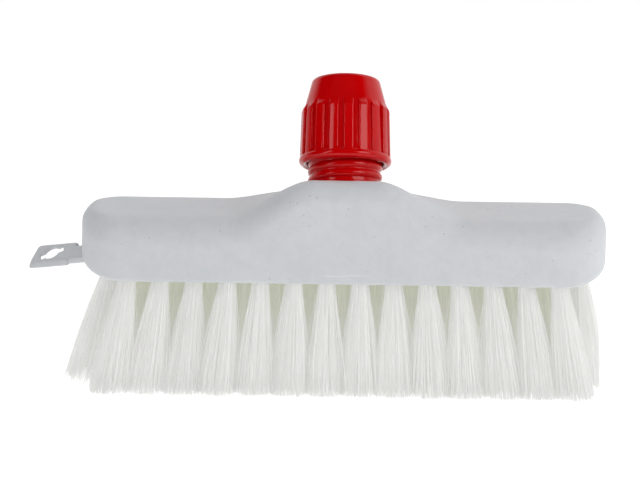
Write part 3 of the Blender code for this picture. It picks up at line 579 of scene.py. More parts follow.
def dot_mask(tree, place, cell, lot, drawn, core, strength, swarm=None):
    """Share of small round dots, each at the heart of a cell of a Voronoi pattern.

    A channel of the cell's own colour is its lot, to which a swarm's noise may be added. The dot
    grows stronger as the lot passes over the range drawn, and fades out over the core's range of
    distances, in shares of a cell.
    """
    cells = add_node(tree, "TexVoronoi", {
        "Vector": place, "Scale": per_metre(cell), "Randomness": 1.0})
    lots = add_node(tree, "SeparateColor", {"Color": cells.outputs["Color"]}).outputs[lot]
    if swarm is not None:
        lots = add_node(tree, "Math", {0: swarm, 1: 1.3, 2: lots}, operation="MULTIPLY_ADD")
    chosen = add_node(tree, "MapRange", {
        "Value": lots, "From Min": drawn[0], "From Max": drawn[1]})
    dot = add_node(tree, "MapRange", {
        "Value": cells, "From Min": core[0], "From Max": core[1], "To Min": strength,
        "To Max": 0.0})
    return add_node(tree, "Math", {0: chosen, 1: dot}, operation="MULTIPLY")


def foamed_polypropylene():
    """Foamed polypropylene, moulded in an unpolished tool.

    To the eye: matt pale grey with soft swirls, a fine orange-peel skin, small pits and dark
    specks where gas bubbles broke the skin, pale grains, and one rubbed line low on the front.
    """
    finish = settings().finish
    material, tree = new_material("foamed_polypropylene")
    place = add_node(tree, "TexCoord").outputs["Object"]
    swirl = add_node(tree, "TexNoise", {
        "Vector": place, "Scale": per_metre(26.0), "Detail": 3.0, "Roughness": 0.6,
        "Distortion": 0.8})
    blotch = add_node(tree, "TexNoise", {
        "Vector": place, "Scale": per_metre(5.0), "Detail": 4.0, "Roughness": 0.65})
    mottle = add_node(tree, "Math", {0: swirl, 1: blotch}, operation="ADD")
    shade = add_node(tree, "MapRange", {"Value": mottle, "From Min": 0.80, "From Max": 1.22})
    body = add_node(tree, "Mix", {
        "Factor": shade, "A": (*finish.foam_shade, 1.0), "B": (*finish.foam, 1.0)},
        data_type="RGBA")
    # Pits lie about 3 mm apart in loose swarms
    swarm = add_node(tree, "TexNoise", {"Vector": place, "Scale": per_metre(19.0), "Detail": 1.0})
    pit = dot_mask(tree, place, 3.4, "Red", (1.36, 1.62), (0.06, 0.14), 1.0, swarm)
    speck_share = add_node(tree, "Math", {0: pit, 1: 0.6}, operation="MULTIPLY")
    tint = add_node(tree, "Mix", {
        "Factor": speck_share, "A": body, "B": (*finish.speck, 1.0)}, data_type="RGBA")
    # Pale grains lie between the pits, each about half a millimetre wide
    pale = dot_mask(tree, place, 2.6, "Green", (0.72, 0.95), (0.06, 0.15), 0.45)
    scuff = scuff_mask(tree, place)
    light = add_node(tree, "Math", {0: pale, 1: scuff}, operation="MAXIMUM")
    tint = add_node(tree, "Mix", {
        "Factor": light, "A": tint, "B": (*finish.grain, 1.0)}, data_type="RGBA")
    skin = add_node(tree, "TexNoise", {
        "Vector": place, "Scale": per_metre(1.4), "Detail": 2.0, "Roughness": 0.6})
    relief = add_node(tree, "Math", {0: skin, 1: 0.5, 2: blotch}, operation="MULTIPLY_ADD")
    # The pits sink into the skin's own waves, and the rubbed line stands on them
    for mask, height in ((pit, -2.5), (scuff, 3.0)):
        relief = add_node(tree, "Math", {0: mask, 1: height, 2: relief},
                          operation="MULTIPLY_ADD")
    bump = add_node(tree, "Bump", {"Strength": 0.35, "Distance": 0.0003, "Height": relief})
    gloss = add_node(tree, "MapRange", {
        "Value": blotch, "From Min": 0.3, "From Max": 0.7, "To Min": 0.50, "To Max": 0.66})
    shader = add_node(tree, "BsdfPrincipled", {
        "Base Color": tint, "Roughness": gloss, "Normal": bump, "IOR": 1.49,
        "Specular IOR Level": 0.35})
    add_node(tree, "OutputMaterial", {"Surface": shader})
    return material


def glossy_red_polypropylene(name, roughness):
    """Red polypropylene, injection moulded in a polished tool.

    To the eye: deep saturated red under a clear gloss, with a slight waviness that breaks the
    reflections, and faint rubbed patches that dull them.
    """
    red = settings().finish.red
    material, tree = new_material(name)
    place = add_node(tree, "TexCoord").outputs["Object"]
    wave = add_node(tree, "TexNoise", {
        "Vector": place, "Scale": per_metre(9.0), "Detail": 2.0, "Roughness": 0.5})
    rub = add_node(tree, "TexNoise", {
        "Vector": place, "Scale": per_metre(3.0), "Detail": 5.0, "Roughness": 0.7})
    gloss = add_node(tree, "MapRange", {
        "Value": rub, "From Min": 0.35, "From Max": 0.75, "To Min": roughness,
        "To Max": roughness + 0.05})
    deep = tuple(channel * 0.80 for channel in red)
    tint = add_node(tree, "Mix", {"Factor": wave, "A": (*deep, 1.0), "B": (*red, 1.0)},
                    data_type="RGBA")
    relief = add_node(tree, "Math", {0: rub, 1: 0.15, 2: wave}, operation="MULTIPLY_ADD")
    bump = add_node(tree, "Bump", {"Strength": 0.12, "Distance": 0.0003, "Height": relief})
    shader = add_node(tree, "BsdfPrincipled", {
        "Base Color": tint, "Roughness": gloss, "Normal": bump, "IOR": 1.50,
        "Specular IOR Level": 0.30})
    add_node(tree, "OutputMaterial", {"Surface": shader})
    return material


def natural_polyamide():
    """Uncoloured polyamide, injection moulded.

    To the eye: warm white, half matt, a little cloudy.
    """
    white = settings().finish.collet
    material, tree = new_material("natural_polyamide")
    place = add_node(tree, "TexCoord").outputs["Object"]
    cloud = add_node(tree, "TexNoise", {"Vector": place, "Scale": per_metre(8.0), "Detail": 3.0})
    deep = tuple(channel * 0.88 for channel in white)
    tint = add_node(tree, "Mix", {"Factor": cloud, "A": (*deep, 1.0), "B": (*white, 1.0)},
                    data_type="RGBA")
    grain = add_node(tree, "TexNoise", {"Vector": place, "Scale": per_metre(0.8), "Detail": 2.0})
    bump = add_node(tree, "Bump", {"Strength": 0.2, "Distance": 0.0001, "Height": grain})
    shader = add_node(tree, "BsdfPrincipled", {
        "Base Color": tint, "Roughness": 0.42, "Normal": bump, "IOR": 1.53})
    add_node(tree, "OutputMaterial", {"Surface": shader})
    return material


def drawn_polyester():
    """White polyester filament, drawn, crimped a little and cut.

    To the eye: satin off-white threads, each a shade apart from the next, a shade greyer towards
    the floor, with painted shade near the block in the inner rows, and a faint painted glow on
    every thread.
    """
    finish = settings().finish
    material, tree = new_material("drawn_polyester")
    shade = add_node(tree, "Attribute", attribute_name="filament_shade").outputs["Fac"]
    inner = add_node(tree, "Attribute", attribute_name="inner_row").outputs["Fac"]
    place = add_node(tree, "TexCoord").outputs["Object"]
    height = add_node(tree, "SeparateXYZ", {"Vector": place}).outputs["Z"]
    high = add_node(tree, "MapRange", {"Value": height, "From Min": 0.020, "From Max": 0.062})
    # Painted shade: inner-row filaments turn warmer and greyer as they near the block
    painted_shade_share = add_node(tree, "Math", {0: high, 1: inner}, operation="MULTIPLY")
    tint = add_node(tree, "Mix", {
        "Factor": painted_shade_share, "A": (*finish.filament, 1.0), "B": (*finish.filament_root_shade, 1.0)},
        data_type="RGBA")
    level = add_node(tree, "MapRange", {"Value": shade, "To Min": 0.93, "To Max": 1.0})
    # Darker towards the floor: the tone falls to 0.955 at the floor over the lowest 14 mm
    cut = add_node(tree, "MapRange", {
        "Value": height, "From Min": 0.0, "From Max": 0.014, "To Min": 0.955})
    level = add_node(tree, "Math", {0: level, 1: cut}, operation="MULTIPLY")
    tone = add_node(tree, "VectorMath", {0: tint, "Scale": level}, operation="SCALE")
    satin = add_node(tree, "BsdfPrincipled", {"Base Color": tone, "Roughness": 0.45, "IOR": 1.57})
    through = add_node(tree, "BsdfTranslucent", {"Color": tone})
    lit = add_node(tree, "MixShader", {"Fac": 0.5, 1: satin, 2: through})
    # Painted glow: a faint emission that stands in for light passed on from thread to thread
    # inside a tuft
    painted_glow = add_node(tree, "Emission", {"Color": tone, "Strength": finish.scatter})
    shader = add_node(tree, "AddShader", {0: lit, 1: painted_glow})
    add_node(tree, "OutputMaterial", {"Surface": shader})
    return material


def painted_floor():
    """Smooth board, sprayed matt white.

    To the eye: plain, pale and even.
    """
    material, tree = new_material("painted_floor")
    shader = add_node(tree, "BsdfPrincipled", {
        "Base Color": (*settings().finish.floor, 1.0), "Roughness": 0.9,
        "Specular IOR Level": 0.0, "Emission Color": (1.0, 1.0, 1.0, 1.0),
        "Emission Strength": 0.60})
    add_node(tree, "OutputMaterial", {"Surface": shader})
    return material


def round_corners(corners, radii, steps, straight_steps):
    """Outline of straight runs with an arc at each corner, for many outlines at once.

    Each arc turns evenly from one tangent point to the next about the centre that lies at
    radius / sin(half the corner's angle) from the corner; corners is (outlines, corners, 2).
    """
    to_before = unit(np.roll(corners, 1, axis=1) - corners)
    to_after = unit(np.roll(corners, -1, axis=1) - corners)
    half = np.arccos(np.clip((to_before * to_after).sum(-1), -1.0, 1.0))[..., None] / 2
    radii = radii[..., None]
    centre = corners + unit(to_before + to_after) * radii / np.sin(half)
    start = corners + to_before * radii / np.tan(half) - centre
    end = corners + to_after * radii / np.tan(half) - centre
    parts = []
    total = corners.shape[1]
    for i in range(total):
        share = np.linspace(0.0, 1.0, steps[i] + 1)[None, :, None]
        turn = math.pi - 2 * half[:, i, None]
        arc = np.sin((1 - share) * turn) * start[:, i, None]
        arc += np.sin(share * turn) * end[:, i, None]
        parts.append(centre[:, i, None] + arc / np.sin(turn))
        share = np.linspace(0.0, 1.0, straight_steps[i] + 1)[None, 1:-1, None]
        leave = (centre + end)[:, i, None]
        arrive = (centre + start)[:, (i + 1) % total, None]
        parts.append(leave * (1 - share) + arrive * share)
    return np.concatenate(parts, axis=1)


def end_inset(x, length, radius):
    """How far a round end draws the section in: radius less the root of radius squared less the
    square of the way past the straight part.
    """
    past = np.clip(np.abs(x) - (length / 2 - radius), 0.0, radius)
    return radius - np.sqrt(np.maximum(radius * radius - past * past, 0.0))


def block_surface():
    """Skin of the block: a rounded four-cornered section carried along X.

    The section's front top corner rises by the hump's share of the height, a smooth ramp of the
    distance from the middle. Along the round ends the sides and the top draw in by quarters of
    circles, and the underside rises by a share of the sides' inset.
    """
    block = settings().block
    straight_stations, end_stations = 181, 28
    largest_bottom, largest_top = 0.40, 0.48  # Shares of the room that a radius may take
    straight = block.length / 2 - block.end_radius
    middle = np.linspace(-straight, straight, straight_stations)
    bend = np.sin(np.linspace(0.0, math.pi / 2, end_stations + 1)[1:]) * block.end_radius
    x = np.concatenate((-(straight + bend)[::-1], middle, straight + bend))
    round_end = end_inset(x, block.length, block.end_radius)
    half = block.width / 2 - round_end
    low = block.base + round_end * block.end_rise / block.end_radius
    back = block.base + block.height - end_inset(x, block.length, block.end_top_radius)
    share = smooth_ramp((block.hump_reach - np.abs(x)) / block.hump_run)
    front = back + math.tan(block.hump_slope) * block.width * share
    crest = block.top_radius + (block.crest_radius - block.top_radius) * share
    room = np.minimum(2 * half, back - low)
    corners = np.array(((-half, low), (half, low), (half, back), (-half, front)))
    corners = corners.transpose(2, 0, 1)
    bottom = np.minimum(block.bottom_radius, largest_bottom * room)
    tops = [np.minimum(radius, largest_top * room) for radius in (block.top_radius, crest)]
    radii = np.stack((bottom, bottom, *tops), axis=1)
    outline = round_corners(corners, radii, (6, 6, 12, 12), (12, 8, 14, 12))
    along = np.broadcast_to(x[:, None, None], outline.shape[:2] + (1,))
    return np.concatenate((along, outline), axis=-1) + block_middle()


def hole_outline(tab):
    """Round hole with a short slot on either side, turned by the slot angle."""
    radius = tab.hole / 2
    half_slot = tab.slot_width / 2
    first = math.asin(half_slot / radius)
    upper = around_z(radius, np.linspace(first, math.pi - first, 15), 0.0)[:, :2]
    slot = np.array(((-tab.slot_length / 2, half_slot), (-tab.slot_length / 2, -half_slot)))
    half = np.concatenate((upper, slot))
    cosine, sine = math.cos(tab.slot_angle), math.sin(tab.slot_angle)
    turn = np.array(((cosine, sine), (-sine, cosine)))
    return np.concatenate((half, -half)) @ turn + np.array((tab.length / 2, 0.0))


def hole_rim(outline, top, bottom, edge):
    """Wall of a hole: the outline widened by edge (1 - sin a) as the height comes within
    edge sin a of either face, which rounds both edges.
    """
    first = unit(outline - np.roll(outline, 1, axis=0))
    second = unit(np.roll(outline, -1, axis=0) - outline)
    way = unit(first + second)
    least = 0.5  # Keeps sharp corners from being widened too far
    stretch = 1.0 / np.maximum((way * first).sum(1, keepdims=True), least)
    normal = np.stack((way[:, 1], -way[:, 0]), axis=-1) * stretch
    angle = np.linspace(0.0, math.pi / 2, 4)
    out = edge * (1 - np.sin(angle))
    out = np.concatenate((out, out[::-1]))
    down = edge * (1 - np.cos(angle))
    height = np.concatenate((top - down, (bottom + down)[::-1]))
    flat = outline[None] + normal[None] * out[:, None, None]
    tall = np.broadcast_to(height[:, None, None], flat.shape[:2] + (1,))
    return np.concatenate((flat, tall), axis=-1)


def tab_rim(outline, tab, root):
    """Border of the tab: rows of the outline, drawn in along both axes by a share of the bevel.

    The face's border lies a whole bevel in, x becoming bevel + x (1 - bevel / root) and y
    becoming y (1 - bevel / front); from there it falls to the edge, which is rounded, and comes
    back up to the plate's underside.
    """
    top, bottom = tab.top, tab.top - tab.border
    # Share drawn in, and height, of each row
    rows = ((1.0, top), (0.9, top - 0.04 * tab.bevel_drop), (0.12, top - 0.96 * tab.bevel_drop),
            (0.03, top - tab.bevel_drop - 0.3 * tab.edge), (0.0, top - tab.bevel_drop - tab.edge),
            (0.0, bottom + tab.edge), (0.03, bottom + 0.3 * tab.edge), (0.12, bottom),
            (0.80, bottom), (1.0, top - tab.plate))
    inner = np.stack((tab.bevel + outline[:, 0] * (1 - tab.bevel / root),
                      outline[:, 1] * (1 - tab.bevel / tab.front)), axis=-1)
    return np.array([np.insert(outline * (1 - share) + inner * share, 2, height, axis=1)
                     for share, height in rows])


def hanging_tab():
    """Moulded tab: rims along its outline and its hole, and two flat faces between them."""
    sizes = settings()
    tab, block = sizes.tab, sizes.block
    step, step_round, neck_round = 0.0004, 0.0004, 0.0009
    root = tab.length + tab.neck_length + tab.root
    neck = tab.length + step
    corners = np.array(((0.0, tab.back), (0.0, -tab.front), (tab.length, -tab.front),
                        (neck, -tab.neck_front), (root, -tab.neck_front), (root, tab.neck_back),
                        (neck, tab.neck_back), (tab.length, tab.back)))
    radii = np.array((tab.corner, tab.corner, tab.corner / 4, step_round, neck_round, neck_round,
                      neck_round, tab.corner / 4))
    outer = round_corners(corners[None], radii[None], (8, 8, 6, 4, 3, 3, 4, 6), (2,) * 8)[0]
    rims = (tab_rim(outer, tab, root),
            hole_rim(hole_outline(tab), tab.top, tab.top - tab.plate, tab.edge))
    rows, outer_count = rims[0].shape[:2]
    hole_rows, hole_count = rims[1].shape[:2]
    first_hole = rows * outer_count
    lids = []
    for row, hole_row in ((0, 0), (rows - 1, hole_rows - 1)):
        edges = [[Vector(point) for point in ring] for ring in (rims[0][row], rims[1][hole_row])]
        triangles = np.array(tessellate_polygon(edges))
        inside = triangles - outer_count + first_hole + hole_row * hole_count
        lids.append(np.where(triangles < outer_count, triangles + row * outer_count, inside))
    faces = [grid_faces(rows, outer_count, True),
             grid_faces(hole_rows, hole_count, True, first_hole)] + lids
    points = np.concatenate([rim.reshape(-1, 3) for rim in rims])
    bend = (Matrix.Rotation(-tab.swing, 4, "Z") @ Matrix.Rotation(-tab.droop, 4, "Y")
            @ Matrix.Rotation(tab.twist, 4, "X"))
    place = Matrix.Translation(Vector(block_middle())
                               + Vector((-block.length / 2, 0.0, block.base + tab.height)))
    back = Matrix.Translation((-(tab.length + tab.neck_length), 0.0, 0.0))
    mesh = mesh_from_arrays("tab", points, faces)
    mesh.transform(place @ bend @ back)
    return solid_from_mesh(mesh)


def tuft_table():
    """Node name, root point and lean along and across the block of every tuft."""
    sizes = settings()
    block, bristle = sizes.block, sizes.bristle
    span = block.length - 2 * bristle.end_setback
    pitch = span / (bristle.outer_count - 1)
    row_pitch = (block.width - 2 * bristle.side_setback) / 3
    rows = (
        ("front", -1.5, bristle.outer_count, -bristle.outer_lean),
        ("inner_front", -0.5, bristle.inner_count, -bristle.inner_lean),
        ("inner_back", 0.5, bristle.inner_count, bristle.inner_lean),
        ("back", 1.5, bristle.outer_count, bristle.outer_lean),
    )
    ends = (("left", bristle.left_setback - block.length / 2, -bristle.left_lean),
            ("right", block.length / 2 - bristle.right_setback, bristle.right_lean))
    base = block_middle() + np.array((0.0, 0.0, block.base))
    table = []
    for row, offset, total, across in rows:
        for i in range(total):
            x = (i - (total - 1) / 2) * pitch
            root = base + np.array((x, offset * row_pitch, 0.0))
            table.append((f"tuft_{row}_{i + 1:02d}", root, bristle.lean * x / (span / 2), across))
    table += [(f"tuft_end_{name}", base + np.array((x, 0.0, 0.0)), lean, 0.0)
              for name, x, lean in ends]
    return table


def tuft_way(along, across):
    """Way that a tuft points, down to its tips, for a drop of one metre."""
    return np.array((math.tan(along), math.tan(across), -1.0))


def tuft_hole_cutter():
    """Drilled holes as one cutter: round bars along the tufts' ways, which start a little below
    the block.
    """
    bristle = settings().bristle
    sides, run_out = 24, 0.003
    ring = around_z(bristle.hole / 2, ring_angles(sides), 0.0)
    bar = grid_faces(2, sides, True)
    points, faces = [], []
    for index, (_, root, along, across) in enumerate(tuft_table()):
        way = tuft_way(along, across)
        points += [root - way * bristle.hole_depth + ring, root + way * run_out + ring]
        faces.append(bar + index * 2 * sides)
    lids = np.arange(len(points) * sides).reshape(-1, sides)
    lids[1::2] = lids[1::2, ::-1]
    return solid_from_mesh(mesh_from_arrays("tuft_holes", np.concatenate(points),
                                            [np.concatenate(faces), lids]))


def socket_seat_cutter():
    """Seat and bore for the socket, turned about the handle's axis."""
    handle = settings().handle
    above = 0.016  # Clears the hump's slope over the collar
    seat = handle.collar / 2 + handle.gap
    bore = handle.spigot / 2 + handle.gap + BARB
    depth = handle.spigot_length + handle.gap
    profile = [(0.0, above), (seat, above), (seat, 0.0), (bore, 0.0), (bore, -depth),
               (0.0, -depth)]
    return solid_from_patches("socket_seat", [(on_handle(lathe(profile, ring_angles(96))), True)])


def collet_outline():
    """Closed radius and height outline of the collet: cone, rim, shoulder, tail and bore."""
    sizes = settings()
    handle, collet = sizes.handle, sizes.collet
    bore = handle.bore / 2
    tail = bore + collet.wall
    rim = collet.shoulder + collet.rim_height
    widest, narrow = [nut_cone_radius(height - sizes.nut.standoff) - collet.cone_gap
                      for height in (rim, collet.top)]
    bottom, edge = collet.shoulder - collet.tail_length, collet.top - BEVEL
    outline = [(bore + BEVEL, collet.top), (narrow - BEVEL, collet.top), (narrow, edge)]
    outline += run_pairs((narrow, edge), (widest, rim), 8)
    outline += [(widest, rim), (widest - collet.rim_height / 2, collet.shoulder),
                (tail, collet.shoulder)]
    outline += run_pairs((tail, collet.shoulder), (tail, bottom), 6)
    outline += [(tail, bottom), (bore, bottom)]
    outline += run_pairs((bore, bottom), (bore, edge), 12)
    return outline + [(bore, edge), outline[0]]


def upright_bars(name, angles, inner, outer, bottom, top, width):
    """Straight bars along the handle's axis, from one radius to another at given angles."""
    x = np.array((inner, outer, outer, inner) * 2)
    y = np.array((-1, -1, 1, 1) * 2) * width / 2
    z = np.repeat((bottom, top), 4)
    quads = np.array(((0, 3, 2, 1), (4, 5, 6, 7), (0, 1, 5, 4), (1, 2, 6, 5), (2, 3, 7, 6),
                      (3, 0, 4, 7)))
    points, faces = [], []
    for angle in angles:
        cosine, sine = math.cos(angle), math.sin(angle)
        faces.append(quads + len(points) * len(x))
        points.append(np.stack((x * cosine - y * sine, x * sine + y * cosine, z), axis=-1))
    mesh = mesh_from_arrays(name, on_handle(np.concatenate(points)), [np.concatenate(faces)])
    return add_object(name, mesh)


def nut_cone_radius(height):
    """Radius of the clamping cone at a height in the nut, falling evenly to the opening."""
    sizes = settings()
    handle, nut = sizes.handle, sizes.nut
    bottom = nut.bead_top + nut.bead_width
    wide = handle.core / 2 + handle.clearance - handle.gap
    slope = (wide - nut.opening / 2) / (nut.cone_top - bottom)
    return wide - slope * (height - bottom)


def rib_spacing(nut):
    """Angles from rib to rib, from a rib's middle to its side, and over its rounded edge."""
    return FULL_TURN / nut.ribs, nut.rib_width / nut.rib_head, 2 * nut.rib_round / nut.rib_head


def rib_angles(nut):
    """Angles round the nut, close together on the ribs' rounded edges and even elsewhere."""
    pitch, edge, rounding = rib_spacing(nut)
    arc = edge - rounding * (1 - np.cos(np.linspace(math.pi / 2, 0.0, 7)))
    crest = np.linspace(0.0, edge - rounding, 4)[:-1]
    foot = edge + np.array((0.10, 0.35, 1.0)) * rounding * 0.5
    groove = np.linspace(foot[-1], pitch / 2, 4)[1:-1]
    side = np.unique(np.round(np.concatenate((crest, arc, foot, groove)), 7))
    one = np.concatenate((-side[:0:-1], side, (pitch / 2,)))
    return (nut.first_rib + np.arange(nut.ribs)[:, None] * pitch + one[None, :]).ravel()


def rib_mask(angles, nut):
    """Share of the rib's height round the nut: an elliptic quarter up each rounded edge."""
    pitch, edge, rounding = rib_spacing(nut)
    off = np.abs((angles - nut.first_rib + pitch / 2) % pitch - pitch / 2)
    t = np.clip((edge - off) / rounding, 0.0, 1.0)
    return np.sqrt(1.0 - (1.0 - t) ** 2)


def nut_outside(nut):
    """Radius and height pairs down the nut between its ribs, from the opening to the mouth."""
    top, roll = nut.rim / 2, nut.flange_height / 2
    corner = (top - nut.rim_round, nut.height - nut.rim_round)
    pairs = [(nut.opening / 2 + nut.rim_round / 2, nut.height)]
    pairs += arc_pairs(corner, nut.rim_round, 90.0, 10.0, 6)
    shoulder = (nut.shoulder / 2, nut.rib_top)
    pairs += run_pairs(pairs[-1], shoulder, 8) + [shoulder]
    # Close rows down the ribs' heads, given in shares of the heads' length
    for share in (0.2, 0.4, 0.6, 0.8, 1.0, 1.25, 1.6, 2.2):
        drop = share * nut.head_length
        pairs.append((shoulder[0] + drop * nut_wall_slope(nut), nut.rib_top - drop))
    above_ring = 0.0003
    waist = (nut.waist / 2, nut.flange_height + above_ring)
    pairs += run_pairs(pairs[-1], waist, 12) + [waist]
    ring_centre = (nut.flange / 2 - roll, roll - nut.flange_drop)
    pairs += arc_pairs(ring_centre, roll, 62.0, -90.0, 16)
    return pairs + [(nut.mouth / 2 + BEVEL, 0.0), (nut.mouth / 2, BEVEL)]


def nut_wall_slope(nut):
    """How much the wall between the ribs widens for each metre down the nut."""
    return (nut.waist - nut.shoulder) / 2 / (nut.rib_top - nut.flange_height)


def nut_skin(angles, nut):
    """Outside of the nut: the turned wall plus the ribs, which stand to a straight line from foot
    to head, are cut to a slope at their heads, and run down into the foot ring.
    """
    radius, height = np.array(nut_outside(nut)).T
    roll = nut.flange_height / 2
    head = nut.rib_top - nut.head_length
    fall = (nut.rib_foot - nut.rib_head) / 2 / (head - roll)
    line = nut.rib_head / 2 + (head - height) * fall
    cut = radius + (nut.rib_top - height) * (nut.rib_head - nut.shoulder) / 2 / nut.head_length
    stand = np.clip(np.minimum(line, cut) - radius, 0.0, None)
    stand = np.where((height > nut.rib_top) | (height < roll), 0.0, stand)
    full = radius[:, None] + stand[:, None] * rib_mask(angles, nut)[None, :]
    return around_z(full, angles[None, :], height[:, None])


def eased(value, limit, reach, bend):
    """Hold a value back as it nears a limit: from a reach before it, what goes past grows as
    bend (1 - exp(-past / bend)), and so never gets there.
    """
    soft = limit - reach
    past = np.maximum(value - soft, 0.0)
    return np.where(past > 0.0, soft + bend * (1 - np.exp(-past / bend)), value)


def filament_paths(rng, root, along, across, bristle, limit, fan):
    """Paths of one tuft's filaments: places on a sunflower disc, fanned from root to tip.

    A filament keeps its place on the disc, whose two radii grow from the root's to the spread's
    with the drop, and bows aside by a sine of the drop. Tips end near the floor, each bundle and
    each filament trimmed a little short of it, and nothing passes the side limit or the front.
    """
    total, stations = bristle.filaments, 6
    # Share of the length that is in the hole, and power of a place's share that is its radius
    inside, evenness = 0.055, 0.42
    # How bundles spread over the disc, draw filaments in, and leave them at odds
    bundles, bundle_spread, bundle_pull, disorder = 7, 0.55, 0.08, 0.05
    stray_share, stray_reach, least_spread, most_spread = 0.07, 1.5, 0.92, 1.04
    # Bow and trims, in metres, and error of the lean, in radians
    bow_spread, bow_outwards, lean_error = 0.0006, 0.0008, 0.006
    floor_gap, bundle_trim, own_trim, short_share, short_by = 0.00003, 0.0008, 0.0004, 0.06, 0.003
    limit_reach, side_bend, front_bend = 0.0030, 0.0028, 0.0026
    spin = np.arange(total) * math.pi * (3.0 - math.sqrt(5.0)) + rng.uniform(0, FULL_TURN)
    disc = around_z(((np.arange(total) + 0.5) / total) ** evenness, spin, 0.0)[:, :2]
    clumps = rng.normal(0.0, bundle_spread, (bundles, 2))
    nearest = np.argmin(((disc[:, None] - clumps[None]) ** 2).sum(-1), axis=1)
    pulled = disc + bundle_pull * (clumps[nearest] - disc) + rng.normal(0.0, disorder, (total, 2))
    stray = rng.random(total) < stray_share
    pulled = np.where(stray[:, None], pulled * rng.uniform(1.0, stray_reach, (total, 1)), pulled)
    spread = np.array((bristle.spread_along, bristle.spread_across * fan))
    spread = spread * rng.uniform(least_spread, most_spread)
    bow = rng.normal(0.0, bow_spread, (total, 2)) + pulled * bow_outwards
    drop = np.linspace(-inside, 1.0, stations)[None, :, None]
    grown = np.clip(drop, 0.0, 1.0)
    offset = disc[:, None] * bristle.root_radius * (1 - grown) + pulled[:, None] * spread * grown
    offset = offset + bow[:, None] * np.sin(math.pi * grown)
    trim = rng.uniform(0.0, bundle_trim, bundles)[nearest]
    trim = trim + np.abs(rng.normal(0.0, own_trim, total))
    short = rng.random(total) < short_share
    length = root[2] - floor_gap - trim - np.where(short, rng.uniform(0.0, short_by, total), 0.0)
    way = tuft_way(along + rng.normal(0.0, lean_error), across)
    centre = root + way * (drop * length[:, None, None])
    path = np.concatenate((centre[..., :2] + offset, centre[..., 2:]), axis=-1)
    path[..., 0] = eased(path[..., 0], limit, limit_reach, side_bend)
    path[..., 1] = -eased(-path[..., 1], -CAD_BOX[0][1], limit_reach, front_bend)
    return path


def bristle_mesh(name, rng, root, along, across, limit):
    """Mesh of one tuft: a three-sided tube along each filament's path, closed at both ends."""
    bristle = settings().bristle
    fan = bristle.end_fan if "end" in name else 1.0
    path = filament_paths(rng, root, along, across, bristle, limit, fan)
    total, stations = path.shape[:2]
    sides = 3
    each = stations * sides
    turn = ring_angles(sides)[None, :] + rng.uniform(0.0, FULL_TURN, total)[:, None]
    radius = bristle.filament / 2 * rng.uniform(0.9, 1.1, total)
    points = path[:, :, None] + around_z(radius[:, None], turn, 0.0)[:, None]
    first = np.arange(total)[:, None] * each
    quads = (grid_faces(stations, sides, True)[None] + first[..., None]).reshape(-1, 4)[:, ::-1]
    lid = np.arange(sides)[None]
    lids = [lid + first, lid[:, ::-1] + first + each - sides]
    mesh = mesh_from_arrays(name, points.reshape(-1, 3), [quads, *lids])
    shade = np.repeat(rng.random(total), each)
    inner = np.full(len(shade), float("inner" in name))
    for label, values in (("filament_shade", shade), ("inner_row", inner)):
        data = mesh.attributes.new(label, "FLOAT", "POINT").data
        data.foreach_set("value", values.astype(np.float32))
    return mesh


class SCRUB_OT_block(bpy.types.Operator):
    """Make the foamed block with its hanging tab, tuft holes and socket seat"""

    bl_idname = "scrub.block"
    bl_label = "Block"

    def execute(self, context):
        skin = block_surface()
        columns = skin.shape[1]
        last = (skin.shape[0] - 1) * columns
        caps = (np.arange(columns), np.arange(columns)[::-1] + last)
        block = solid_from_patches("block_moulding", [(skin, True)], caps)
        combine(block, hanging_tab(), "UNION")
        combine(block, socket_seat_cutter(), "DIFFERENCE")
        combine(block, tuft_hole_cutter(), "DIFFERENCE")
        finish_piece(block, foamed_polypropylene(), "brush", ["brush_block"], 35.0)
        return {"FINISHED"}


class SCRUB_OT_socket(bpy.types.Operator):
    """Make the red threaded socket with its barbed spigot, collar and bore"""

    bl_idname = "scrub.socket"
    bl_label = "Threaded socket"

    def execute(self, context):
        handle = settings().handle
        angles = ring_angles(120)
        core, chamfer, collar_edge = handle.core / 2, 0.0006, 0.0003
        thread_low, thread_high = handle.collar_height + chamfer, handle.top - chamfer
        band = thread_band(angles, thread_low, thread_high, core, handle.ridge / 2, 0.0, 0.0,
                           handle.thread_turns)
        spigot, collar = handle.spigot / 2, handle.collar / 2
        low = [(core, thread_low), (collar - collar_edge, handle.collar_height),
               (collar, handle.collar_height - collar_edge), (collar, handle.gap),
               (spigot, handle.gap)]
        for top in (-BARB_PITCH, -2 * BARB_PITCH):
            low += [(spigot, top), (spigot + BARB, top), (spigot, top - BARB_LENGTH)]
        low += [(spigot, -handle.spigot_length), (0.0, -handle.spigot_length)]
        bore, counterbore = handle.bore / 2, handle.counterbore / 2
        inner_floor = handle.floor - handle.spigot_length
        high = [(core, thread_high), (core - chamfer, handle.top), (counterbore, handle.top),
                (counterbore, handle.counterbore_floor), (bore, handle.counterbore_floor),
                (bore, inner_floor), (0.0, inner_floor)]
        patches = [(on_handle(band), False), (on_handle(lathe(low, angles)), True),
                   (on_handle(lathe(high, angles)), True)]
        socket = solid_from_patches("socket_moulding", patches)
        finish_piece(socket, glossy_red_polypropylene("red_socket_polypropylene", 0.11),
                     "brush", ["threaded_socket"])
        return {"FINISHED"}


